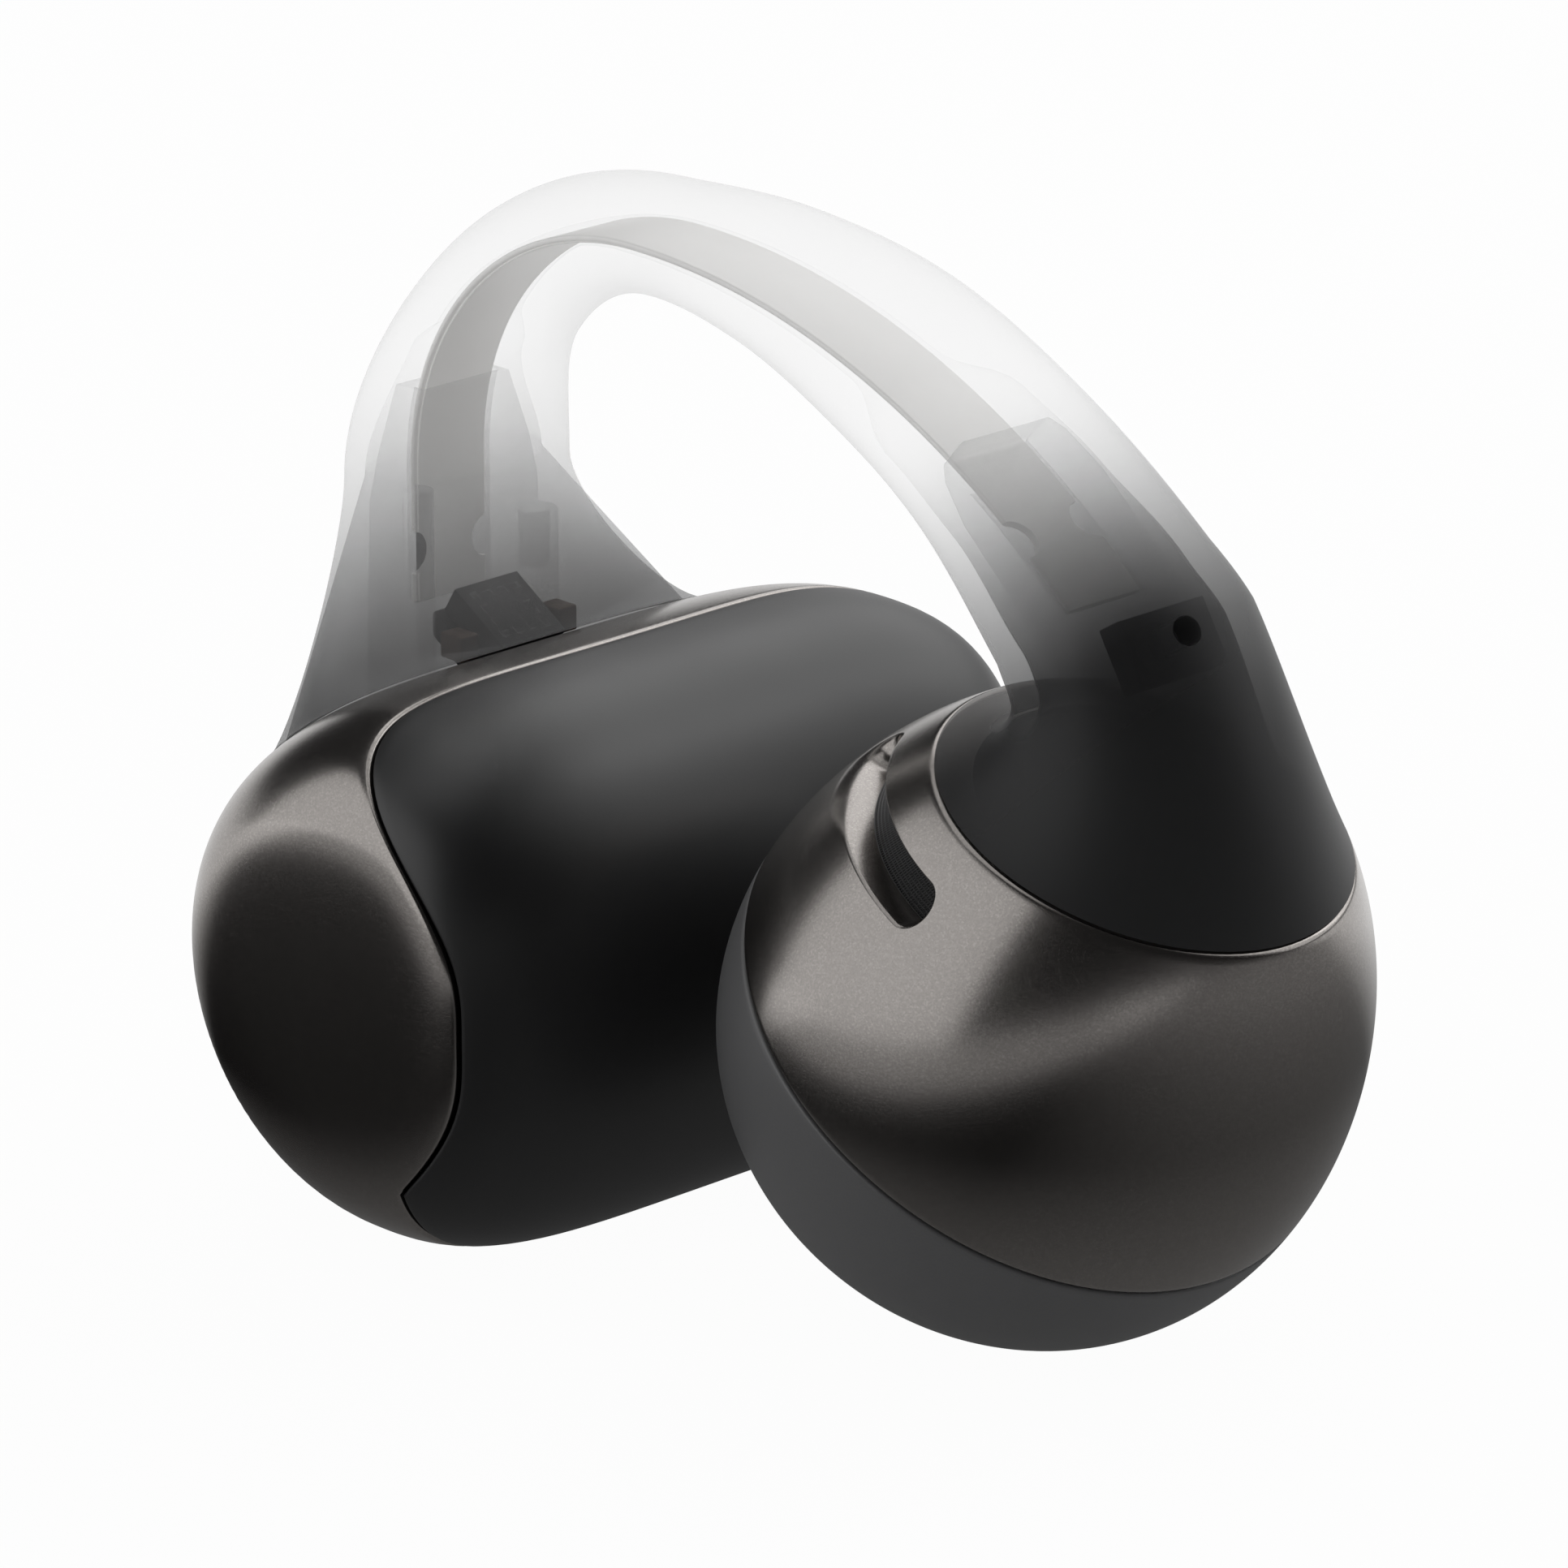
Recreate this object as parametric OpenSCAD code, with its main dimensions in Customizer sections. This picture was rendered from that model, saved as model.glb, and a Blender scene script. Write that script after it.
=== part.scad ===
// Open-ear clip earphone. A battery capsule sits behind the ear, an acoustic ball in front
// of it, and a springy bridge joins the two. +X runs from the capsule to the ball, +Y along
// the capsule and +Z up. The origin is on the ground, under the middle of the whole clip.

/* [Battery capsule] */
// Length of the capsule, from facet to facet
capsule_len = 18.4; // [17.5:0.1:21]
// Height of the capsule
capsule_h = 12.6; // [12.2:0.1:14]
// Bulge of the capsule's outer side, from its axis
capsule_back = 6.85; // [6.6:0.05:7.8]
// Bulge of the capsule's ear side, from its axis
capsule_front = 4.9; // [4.8:0.05:5.8]
// Wall of the shell and of the soft cover
capsule_wall = 0.7; // [0.5:0.05:0.8]
// Depth of the flat facet cut into each rounded end
facet_depth = 0.19; // [0.08:0.01:0.35]
// Reach of the soft cover over the top, in degrees from the ear side
cover_top = 95; // [88:1:100]
// Reach of the soft cover at the two ends, in degrees
cover_end = 67.5; // [60:0.5:74]
// Reach of the soft cover underneath, in degrees
cover_bottom = 79; // [74:1:86]
// Gap at a parting line
seam = 0.06; // [0.04:0.01:0.1]

/* [Acoustic ball] */
// Length of the egg, tip to tip
ball_len = 15.8; // [15.4:0.1:17.4]
// Diameter of the egg at its middle
ball_d = 13.7; // [13.4:0.1:15]
// Narrowing of the egg towards its neck
ball_taper = 0.17; // [0.1:0.01:0.2]
// Lean of the egg's axis from upright
ball_tilt = 36.5; // [32:0.5:40]
// Wall of the band, the cap and the neck plug
ball_wall = 0.7; // [0.5:0.05:0.8]
// Gap between the ball and the capsule, where the ear's rim is held
ear_gap = 0.75; // [0.5:0.05:1.6]
// Distance of the cap's parting line below the middle of the egg
cap_drop = 1.4; // [1:0.1:1.8]
// Lean of the neck's parting plane
neck_tilt = 22; // [19:1:25]
// Height of the neck's parting plane above the middle of the egg
neck_rise = 5.1; // [4.9:0.05:5.4]

/* [Sound outlet] */
// Width of the outlet slot
slot_w = 0.95; // [0.7:0.05:1.1]
// Arc of the outlet slot round the egg, in degrees
slot_arc = 54; // [40:1:58]
// Middle of the slot round the egg, in degrees
slot_turn = -132; // [-136:1:-124]

/* [Bridge] */
// Height of the strip's crown
crown_h = 22.1; // [21.6:0.1:24]
// Width of the spring strip
strip_w = 2.16; // [1.8:0.02:2.3]
// Thickness of the spring strip
strip_t = 0.14; // [0.1:0.01:0.2]
// Thickness of the flex circuit bonded under the strip
flex_t = 0.05; // [0.03:0.01:0.07]
// Distance of the strip's rear leg behind the capsule's axis
strip_back = 6.25; // [6.1:0.05:6.5]
// Height of the strip's rear end above the capsule's axis
leg_foot = 6; // [5.7:0.1:6.4]
// Height above the capsule's axis at which the rear leg starts to bend
leg_rise = 9.2; // [8.8:0.1:9.8]
// Radius of the locking notches in the strip's edges
notch_r = 0.5; // [0.4:0.02:0.55]
// Wall of the sleeve's skirt over the ball
skirt_wall = 0.7; // [0.6:0.05:0.8]
// Half length of the sleeve's foot along the capsule
foot_w = 6.6; // [6:0.1:7]

/* [Battery] */
// Diameter of the cell
cell_d = 7.4; // [6.8:0.1:7.5]
// Length of the cell
cell_len = 10.8; // [10:0.1:11.2]

/* [Speaker] */
// Room in the egg round the speaker's basket, across the diameter
driver_room = 3.1; // [2.7:0.1:3.7]
// Depth of the speaker
driver_h = 3; // [2.8:0.1:3.2]
// Diameter of the voice coil
coil_d = 5; // [4.6:0.1:5.4]
// Travel of the diaphragm each way
stroke = 0.25; // [0.1:0.05:0.3]

/* [Boards] */
// Thickness of the circuit boards
board_t = 0.45; // [0.4:0.05:0.5]
// Room in the egg round the main board, across the diameter
board_room = 4.5; // [4.3:0.1:5.1]
// Diameter of the microphone's port
mic_port_d = 0.66; // [0.5:0.02:0.7]

/* [Hidden] */

$fn = 72;
eps = 0.01;
fit = 0.05;                                   // clearance between pieces that are glued together
loose = 0.15;                                 // clearance between soft and hard pieces

// The capsule's rounded form
end_round = 4.5;                              // exponent of the ends' rounding
front_square = 2.65;                          // exponent of the ear side's flatness
capsule_z = capsule_h/2;
end_b = capsule_len/2 + facet_depth;

// The egg's reach from its centre towards a direction in the XZ plane, angle from +X
function egg_r(z, inset = 0) = let (c = ball_len/2 - inset, t = z/c)
    t*t >= 1 ? 0 : (ball_d/2 - inset)*sqrt(1 - t*t)*(1 - ball_taper*t);
function egg_reach(a) = max([for (i = [-40:40]) let (z = ball_len/2*sin(i*2.25))
    z*cos(90 - ball_tilt - a) + egg_r(z)*abs(sin(90 - ball_tilt - a))]);

// The clip's box is centred on the origin; the sleeve's back stands behind the capsule
sleeve_back = 1.1;
back_reach = max(capsule_back, strip_back + sleeve_back);
total_w = back_reach + capsule_front + ear_gap + egg_reach(180) + egg_reach(0);
capsule_x = back_reach - total_w/2;
ball_x = total_w/2 - egg_reach(0);
ball_z = egg_reach(-90);

// Frame of the neck's parting plane
neck_out = [cos(neck_tilt), 0, -sin(neck_tilt)];
neck_up = [sin(neck_tilt), 0, cos(neck_tilt)];
neck_at = [ball_x, 0, ball_z] + neck_rise*neck_up;
plug_low = 0.5;                               // the plug's tongue inside the band
plug_high = 0.6;                              // the plug's top above the parting plane

// The strip: rear leg, rear shoulder, front shoulder
leg_x = capsule_x - strip_back;
crown_x = capsule_x + 0.85;
round_k = 0.5523;                             // a Bezier quarter round
tip_slope = 41;                               // the strip's slope at its front end
tip_in = 2.45;                                // the front end, from the neck's axis
tip_rise = 3.65;                              // the front end, above the neck's plane
tip_at = neck_at - tip_in*neck_out + tip_rise*neck_up;
tip_dir = [cos(tip_slope), 0, -sin(tip_slope)];
leg_top = [leg_x, 0, capsule_z + leg_rise];
crown_at = [crown_x, 0, crown_h];
front_pull = 5;
shoulder = [leg_top,
            leg_top + [0, 0, round_k*(crown_h - leg_top.z)],
            crown_at - [round_k*(crown_x - leg_x), 0, 0],
            crown_at];
forearm = [crown_at, crown_at + [front_pull, 0, 0], tip_at - front_pull*tip_dir, tip_at];
wrist = [tip_at, tip_at + 1.8*tip_dir, neck_at + 2.2*neck_up, neck_at];

function bez(p, t) = (1-t)*(1-t)*(1-t)*p[0] + 3*t*(1-t)*(1-t)*p[1] + 3*t*t*(1-t)*p[2] + t*t*t*p[3];
function bez_d(p, t) = (1-t)*(1-t)*(p[1] - p[0]) + 2*t*(1-t)*(p[2] - p[1]) + t*t*(p[3] - p[2]);
function unit(v) = v/norm(v);
// The bridge's middle line: 0 to 1 the rear shoulder, to 2 the front one, to 3 the wrist
function arc_of(t) = t < 1 ? shoulder : t < 2 ? forearm : wrist;
function spine(t) = let (s = t >= 3 ? 1 : t - floor(t)) bez(arc_of(t), s);
function spine_dir(t) = let (s = t >= 3 ? 1 : t - floor(t)) unit(bez_d(arc_of(t), s));
function outward(t) = let (d = spine_dir(t)) [-d.z, 0, d.x];

// Sleeve sections along the middle line: [place, outer side, inner side, half width]
sleeve_sizes = [[0, sleeve_back, 2.5, 2.95], [0.5, 1.25, 2, 2], [1, 1.35, 1.3, 1.55],
                [1.25, 1.85, 1.35, 1.8], [1.5, 2.3, 1.55, 2.2], [1.75, 2.3, 1.65, 2.55], [2, 2.35, 2.4, 2.8],
                [2.3, 2.55, 2.5, 3.05], [3, 3, 3, 3.6]];
cuff_t = 2.25;                                // where the sleeve starts to widen over the ball
// Hollow sections: snug round the strip, wide round what holds its two ends
channel = [strip_t/2 + loose, strip_t/2 + flex_t + loose, strip_w/2 + 1.5*loose];
hollow_sizes = [[0, 0.75, 1.75, 2.4], [0.28, 0.65, 0.85, 1.6], [0.36, each channel], [1.5, each channel],
                [1.64, 0.98, 0.98, 2.1], [1.8, 1.15, 1.15, 2.2], [2, 1.55, 1.7, 2.3], [2.3, 1.8, 1.85, 2.4],
                [3, 2.2, 2.4, 3]];
function slope_at(tab, i, c) = i <= 0 || i >= len(tab) - 1 ? 0
    : (tab[i+1][c] - tab[i-1][c])/(tab[i+1][0] - tab[i-1][0]);
function smooth_in(tab, t, c, soft) =
    let (i = min(len(tab) - 2, len([for (k = [1:len(tab) - 1]) if (tab[k][0] <= t) 1])),
         w = tab[i+1][0] - tab[i][0], s = (t - tab[i][0])/w,
         a = tab[i][c], b = tab[i+1][c], da = soft*w*slope_at(tab, i, c), db = soft*w*slope_at(tab, i+1, c))
    a*(1 + 2*s)*(1-s)*(1-s) + da*s*(1-s)*(1-s) + b*s*s*(3 - 2*s) - db*s*s*(1-s);

// Ring of points round the middle line, with the round of the sleeve's section
ring_n = 24;
function turn(k) = 360*k/ring_n;
function section(t, a, tab, soft) =
    spine(t) + outward(t)*cos(a)*smooth_in(tab, t, cos(a) > 0 ? 1 : 2, soft)
    + [0, sin(a)*smooth_in(tab, t, 3, soft), 0];

// The egg cut by the neck's plane, for the end of the skirt
function egg_side(p, inset) = let (q = p - [ball_x, 0, ball_z],
    z = q.x*sin(ball_tilt) + q.z*cos(ball_tilt), x = q.x*cos(ball_tilt) - q.z*sin(ball_tilt))
    norm([x, q.y]) - egg_r(z, inset);
function neck_find(dir, lift, inset, lo, hi, n) = let (m = (lo + hi)/2)
    n == 0 ? m : egg_side(neck_at + lift*neck_up + m*dir, inset) < 0
        ? neck_find(dir, lift, inset, m, hi, n - 1) : neck_find(dir, lift, inset, lo, m, n - 1);
function neck_ring(a, lift, inset) = let (dir = cos(a)*neck_out + [0, sin(a), 0])
    neck_at + lift*neck_up + neck_find(dir, lift, inset, 0, ball_d, 22)*dir;

// Capsule surface: a point at angle u round the axis (from +X) and place y along it
function hull_r(u, y, inset) =
    let (q = pow(1 - pow(abs(y)/(end_b - inset), end_round), 1/end_round),
         a = (cos(u) > 0 ? capsule_front : capsule_back) - inset, n = cos(u) > 0 ? front_square : 2)
    q/pow(pow(abs(cos(u))/a, n) + pow(abs(sin(u))/(capsule_z - inset), n), 1/n);
function on_capsule(u, y, off) = let (r = hull_r(u, y, 0) + off)
    [capsule_x + r*cos(u), y, capsule_z + r*sin(u)];
function half_round(v, e) = sign(v)*pow(abs(v), e);
foot_u = 141.5;                               // middle of the foot round the capsule
foot_du = 23.5;                               // half reach of the foot round the capsule
function foot(a, share, off) = let (e = 2/3)
    on_capsule(foot_u + share*foot_du*half_round(cos(a), e), share*foot_w*half_round(sin(a), e), off);
foot_fillet = 1.25;
function flare(s, a) =
    let (low = foot(a, 1, fit), top = section(0, a, sleeve_sizes, 1),
         run = unit(foot(a, 0.97, fit) - low))
    bez([top, top - [0, 0, foot_fillet], low + foot_fillet*run, low], s);

// The cuff runs from the sleeve's last section onto the egg, in line with the egg's skin
function cuff(s, a, tab, soft, inset) =
    let (top = section(cuff_t, a, tab, soft), low = neck_ring(a, seam, inset),
         up = unit(neck_ring(a, seam + 0.3, inset) - low), d = norm(top - low))
    bez([top, top + 0.25*d*spine_dir(cuff_t), low + 0.4*d*up, low], s);

// Closed tube between an outer and an inner net of rings, both of the same shape
module thick_tube(outer, inner) {
    n = len(outer[0]);
    m = len(outer);
    function at(i, k) = i*n + (k % n);
    function within(i, k) = n*m + at(i, k);
    faces = concat(
        [for (i = [0:m - 2], k = [0:n - 1]) [at(i, k), at(i, k+1), at(i+1, k+1)]],
        [for (i = [0:m - 2], k = [0:n - 1]) [at(i, k), at(i+1, k+1), at(i+1, k)]],
        [for (i = [0:m - 2], k = [0:n - 1]) [within(i, k), within(i+1, k+1), within(i, k+1)]],
        [for (i = [0:m - 2], k = [0:n - 1]) [within(i, k), within(i+1, k), within(i+1, k+1)]],
        [for (k = [0:n - 1]) [at(0, k), within(0, k), within(0, k+1)]],
        [for (k = [0:n - 1]) [at(0, k), within(0, k+1), at(0, k+1)]],
        [for (k = [0:n - 1]) [at(m-1, k), at(m-1, k+1), within(m-1, k+1)]],
        [for (k = [0:n - 1]) [at(m-1, k), within(m-1, k+1), within(m-1, k)]]);
    polyhedron([each [for (r = outer) each r], each [for (r = inner) each r]], faces);
}

// Patch of the capsule's wall about an X pole: rings at polar angles from a rim to the pole
function star_r(d, inset) =
    let (a = (d.x > 0 ? capsule_front : capsule_back) - inset, n = d.x > 0 ? front_square : 2,
         q = pow(pow(abs(d.x)/a, n) + pow(abs(d.z)/(capsule_z - inset), n), 1/n),
         f = pow(pow(q, end_round) + pow(abs(d.y)/(end_b - inset), end_round), 1/end_round))
    min(1/f, (capsule_len/2 - inset)/max(abs(d.y), eps));
function star(th, ph, inset) = let (d = [cos(th), sin(th)*cos(ph), sin(th)*sin(ph)])
    [capsule_x, 0, capsule_z] + star_r(d, inset)*d;
function cover_edge(ph) = let (from_end = min(abs(ph), abs(abs(ph) - 180)),
    top = cover_top - (cover_top - cover_end)*exp(-pow(from_end/29, 3)))
    ph < 0 ? min(top, cover_bottom) : top;
wall_n = 68;
// The barrel is straight underneath: its skin has no columns there, and it stands on two lines
columns = [for (k = [0:wall_n - 1]) if (abs(k - wall_n/4) > 3) 360*k/wall_n - 180];
function about(k) = columns[k];

module wall_patch(edge_shift, pole, rows) {
    // A half turn of rows from the parting line to the pole, outer skin then inner skin
    function row(k, i, inset) = let (e = cover_edge(about(k)) + edge_shift)
        star(e + (pole - e)*pow(i/rows, 0.9), about(k), inset);
    n = len(columns);
    skin = n*rows + 1;
    function at(s, i, k) = s*skin + (i == rows ? n*rows : i*n + (k % n));
    flip = pole > 90;
    function side(f) = flip ? f : [f[0], f[2], f[1]];
    pts = [for (s = [0, capsule_wall]) each concat(
        [for (i = [0:rows - 1], k = [0:n - 1]) row(k, i, s)], [star(pole, 0, s)])];
    faces = concat(
        [for (i = [0:rows - 2], k = [0:n - 1]) side([at(0, i, k), at(0, i+1, k+1), at(0, i+1, k)])],
        [for (i = [0:rows - 1], k = [0:n - 1]) side([at(0, i, k), at(0, i, k+1), at(0, i+1, k+1)])],
        [for (i = [0:rows - 2], k = [0:n - 1]) side([at(1, i, k), at(1, i+1, k), at(1, i+1, k+1)])],
        [for (i = [0:rows - 1], k = [0:n - 1]) side([at(1, i, k), at(1, i+1, k+1), at(1, i, k+1)])],
        [for (k = [0:n - 1]) side([at(0, 0, k), at(1, 0, k+1), at(0, 0, k+1)])],
        [for (k = [0:n - 1]) side([at(0, 0, k), at(1, 0, k), at(1, 0, k+1)])]);
    polyhedron(pts, faces);
}

module in_capsule() translate([capsule_x, 0, capsule_z]) children();
module along_y() rotate([-90, 0, 0]) children();
module in_ball() translate([ball_x, 0, ball_z]) rotate([0, ball_tilt, 0]) children();
module at_neck() translate(neck_at) rotate([0, neck_tilt, 0]) children();
module above_neck(low, high) at_neck() translate([-ball_d, -ball_d, low])
    cube([2*ball_d, 2*ball_d, high - low]);

// ---- capsule pieces
pin_d = 1.3;
pin_gap = 3.4;
pin_u = -112;                                 // the charge pins look down and back
module on_dock(y) in_capsule() translate([0, y, 0]) rotate([0, 90 - pin_u, 0]) children();
pin_r = hull_r(pin_u, pin_gap/2, 0);

seam_turn = seam/2/capsule_z*180/PI;          // half the seam, as an angle about the capsule's middle
port_from = 1;                                // the bridge's port in the shell, in front of the strip
port_to = 3.2;
port_w = 3;
module capsule_shell() color("#6a6663") difference() {
    wall_patch(seam_turn, 180, 22);
    for (y = [-pin_gap/2, pin_gap/2]) on_dock(y) cylinder(h = capsule_h, d = pin_d + 2*fit, $fn = 24);
    translate([leg_x + port_from, -port_w/2, capsule_z]) cube([port_to - port_from, port_w, capsule_h]);
}
module capsule_cover() color("#3c3d3f") wall_patch(-seam_turn, 0, 14);

cell_x = -0.4;                                // the cell's axis, in front of the capsule's
module in_cell() in_capsule() translate([cell_x, 0, 0]) along_y() children();
cell_wall = 0.2;
cap_h = 0.5;
cap_proud = 0.1;                              // the cell's cap stands out of its insulator
module cell_can() color("#c9cbcc") in_cell() rotate_extrude()
    polygon([[0, -cell_len/2], [cell_d/2 - 0.4, -cell_len/2], [cell_d/2, -cell_len/2 + 0.4],
             [cell_d/2, cell_len/2], [0, cell_len/2]]);
module cell_insulator() color("#2f5a8c") in_cell() translate([0, 0, cell_len/2]) difference() {
    cylinder(h = cap_h, d = cell_d - 2*cell_wall);
    translate([0, 0, -eps]) cylinder(h = cap_h + 2*eps, d = cell_d/2 + 2*fit);
}
module cell_top_cap() color("#dadcdd") in_cell() translate([0, 0, cell_len/2])
    cylinder(h = cap_h + cap_proud, d = cell_d/2);
tab_w = 1.8;
tab_t = 0.12;
tab_y = [-cell_len/2 - tab_t, cell_len/2 + cap_h + cap_proud];
cradle_t = 0.6;
hoop_w = 2;                                   // width of the cradle's hoops
board_w = 3.6;                                // width of the capsule's board
cradle_d = cell_d + 2*fit;
board_z = cell_d/2 + cradle_t + fit;          // underside of the capsule's board above the cell's axis
module cell_tabs() color("#b9a46a") in_capsule() translate([cell_x, 0, 0]) {
    for (y = tab_y) translate([-tab_w/2, y, 0]) cube([tab_w, tab_t, board_z + board_t]);
}
module cell_cradle() color("#1c1c1e") difference() {
    union() {
        for (s = [-1, 1]) in_cell() translate([0, 0, s*cell_len/4 - hoop_w/2])
            cylinder(h = hoop_w, d = cradle_d + 2*cradle_t);
        in_cell() translate([-hoop_w/2, cell_d/2 - 1, -cell_len/4]) cube([hoop_w, cradle_t + 1, cell_len/2]);
        in_capsule() translate([cell_x - board_w/2, -cell_len/2, cell_d/2 - 1])
            cube([board_w, cell_len, cradle_t + 1]);
    }
    in_cell() cylinder(h = cell_len + 1, d = cradle_d, center = true);
}
module capsule_board() color("#1d3b2a") in_capsule() difference() {
    past = 0.4;                               // the board ends just past the tabs
    translate([cell_x - board_w/2, tab_y[0] - past, board_z])
        cube([board_w, tab_y[1] - tab_y[0] + tab_t + 2*past, board_t]);
    for (y = tab_y) translate([cell_x, y + tab_t/2, board_z])
        cube([tab_w + 2*fit, tab_t + 2*fit, 3*board_t], center = true);
}
chip_h = 0.5;
charger_a = 2.4;                              // side of the square charger chip
charger_y = -3.6;
plug_box = [2, 3.2, chip_h];
plug_at = [-1.4, 0.6];                        // corner of the plug, from the cell's axis
module charger_chip() color("#121314") in_capsule()
    translate([cell_x - charger_a/2, charger_y, board_z + board_t]) cube([charger_a, charger_a, chip_h]);
module board_plug() color("#d8d2c4") in_capsule()
    translate([cell_x + plug_at.x, plug_at.y, board_z + board_t]) cube(plug_box);
electrode_t = 0.2;
electrode_d = 5.6;
electrode_x = -0.6;                           // middle of the facets, from the capsule's axis
electrode_y = capsule_len/2 - capsule_wall - fit - electrode_t;
module electrode() color("#b87b4a") cylinder(h = electrode_t, d = electrode_d, $fn = 48);
module at_facet(side) in_capsule() rotate([side*90, 0, 0])
    translate([electrode_x, 0, electrode_y]) children();
module touch_electrode() at_facet(1) electrode();
module far_touch_electrode() at_facet(-1) electrode();
magnet_d = 2.6;
magnet_t = 0.7;
magnet_y = 4.3;
module dock_magnets() color("#a9adb0") for (y = [-magnet_y, magnet_y])
    on_dock(y) translate([0, 0, hull_r(pin_u, magnet_y, 0) - capsule_wall - 5*fit - magnet_t])
        cylinder(h = magnet_t, d = magnet_d, $fn = 40);
module charge_pins() color("#d9b25a") for (y = [-pin_gap/2, pin_gap/2]) on_dock(y) {
    translate([0, 0, pin_r - capsule_wall - 0.5]) cylinder(h = capsule_wall + 0.45, d = pin_d, $fn = 24);
    translate([0, 0, pin_r - capsule_wall - 0.75]) cylinder(h = 0.5, d = pin_d + 0.5, $fn = 24);
}

// ---- bridge pieces
notch_up = 1.15;                              // the rear notches, above the strip's end
notch_in = 1.95;                              // the front notches, before the strip's front end
function ribbon(lo, hi) = let (ts = [for (i = [0:44]) i*2/45])
    concat([[leg_x, capsule_z + leg_foot] + lo*[-1, 0]],
           [for (t = ts) let (p = spine(t) + lo*outward(t)) [p.x, p.z]],
           [let (p = tip_at + lo*[-tip_dir.z, 0, tip_dir.x]) [p.x, p.z]],
           [let (p = tip_at + hi*[-tip_dir.z, 0, tip_dir.x]) [p.x, p.z]],
           [for (i = [44:-1:0]) let (p = spine(ts[i]) + hi*outward(ts[i])) [p.x, p.z]],
           [[leg_x, capsule_z + leg_foot] + hi*[-1, 0]]);
notch_offset = strip_w/2 + 0.02;
module notches(r, h) {
    for (s = [-1, 1]) {
        translate([leg_x, s*notch_offset, capsule_z + leg_foot + notch_up]) rotate([0, 90, 0])
            cylinder(h = h, r = r, center = true, $fn = 32);
        translate(tip_at - notch_in*tip_dir + [0, s*notch_offset, 0]) rotate([0, tip_slope, 0])
            cylinder(h = h, r = r, center = true, $fn = 32);
    }
}
module ribbon_solid(lo, hi, w) difference() {
    rotate([90, 0, 0]) linear_extrude(w, center = true) polygon(ribbon(lo, hi));
    notches(notch_r, 2);
}
module spring_strip() color("#c8c6c4") ribbon_solid(-strip_t/2, strip_t/2, strip_w);
module bridge_flex() color("#8f8c89") ribbon_solid(-strip_t/2 - flex_t, -strip_t/2, strip_w - 0.2);
module strip_way() rotate([90, 0, 0]) linear_extrude(strip_w + 2*fit, center = true)
    polygon(ribbon(-strip_t/2 - flex_t - fit, strip_t/2 + fit));

module bridge_sleeve() color("#9a9a9c") difference() {
    foot_rows = 8;
    tube_rows = 32;
    cuff_rows = 9;
    hollow_share = 0.88;
    ring = [for (k = [0:ring_n - 1]) turn(k)];
    outer = concat(
        [for (i = [0:foot_rows - 1]) [for (a = ring) flare(1 - i/foot_rows, a)]],
        [for (i = [0:tube_rows - 1]) [for (a = ring) section(i*cuff_t/tube_rows, a, sleeve_sizes, 1)]],
        [for (i = [0:cuff_rows]) [for (a = ring) cuff(i/cuff_rows, a, sleeve_sizes, 1, 0)]]);
    inner = concat(
        [for (i = [0:foot_rows - 1]) let (s = 1 - i/foot_rows)
            [for (a = ring) s*foot(a, hollow_share, fit) + (1 - s)*section(0, a, hollow_sizes, 0)]],
        [for (i = [0:tube_rows - 1]) [for (a = ring) section(i*cuff_t/tube_rows, a, hollow_sizes, 0)]],
        [for (i = [0:cuff_rows]) [for (a = ring) cuff(i/cuff_rows, a, hollow_sizes, 0, skirt_wall)]]);
    thick_tube(outer, inner);
    mic_port(mic_port_d);
}

// Clear anchors that grip the strip's ends
anchor_t = 0.9;                               // thickness of an anchor's plate
anchor_back = 0.25;                           // part of the rear plate that is behind the strip
rear_top = 5.1;                               // height of the rear anchor above the strip's end
leg_z = capsule_z + leg_foot;
function back_z(x) = capsule_z*(1 + sqrt(1 - x*x/capsule_back/capsule_back));
plate_low = back_z(strip_back - anchor_t + anchor_back) + fit - leg_z;
peg_out = 0.95;                               // the pegs stand in front of the strip
peg_y = 1.75;
boss_d = 1.1;
peg_d = 0.7;
module rear_anchor() color("#dfe3e6", 0.6) difference() {
    side = [[plate_low, 2.3], [rear_top - 2.6, 2.15], [rear_top - 1.6, 1.9], [rear_top, 1.3]];
    peg_low = back_z(strip_back - peg_out - boss_d/2) + fit;
    union() {
        translate([leg_x + anchor_t - anchor_back, 0, leg_z]) rotate([0, -90, 0]) linear_extrude(anchor_t)
            polygon(concat([for (p = side) [p.x, -p.y]], [for (i = [len(side) - 1:-1:0]) side[i]]));
        for (s = [-1, 1]) translate([leg_x + peg_out, s*peg_y, peg_low])
            cylinder(h = leg_z + (s > 0 ? 1.8 : 3) - peg_low, d = s > 0 ? boss_d : peg_d, $fn = 32);
    }
    strip_way();
    translate([leg_x + peg_out, peg_y, leg_z + 0.5]) cylinder(h = 2, d = peg_d, $fn = 32);
}

// Square sensor package on its carrier at the sleeve's foot
sensor_a = 1.9;
sensor_t = 0.7;
sensor_lean = 32;
sensor_out = 2.05;                            // middle of the sensor's face, in front of the strip
sensor_up = 0.05;
sensor_at = [leg_x + sensor_out, 0, leg_z + sensor_up];
module at_sensor() translate(sensor_at) rotate([0, sensor_lean, 0]) children();
module sensor_chip() color("#1a1b1d") at_sensor() translate([-sensor_a/2, -sensor_a/2, -sensor_t])
    cube([sensor_a, sensor_a, sensor_t]);
sensor_pad = [sensor_a + 0.2, sensor_a + 0.4, 0.55];
module sensor_carrier() color("#54565a") difference() {
    at_sensor() translate([-sensor_pad.x/2, -sensor_pad.y/2, -sensor_t - fit - sensor_pad.z])
        cube(sensor_pad);
    translate([leg_x, 0, leg_z]) cube([2*(anchor_t - anchor_back + fit), 6, 4], center = true);
}
terminal = [0.7, 0.55, 0.6];
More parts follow.
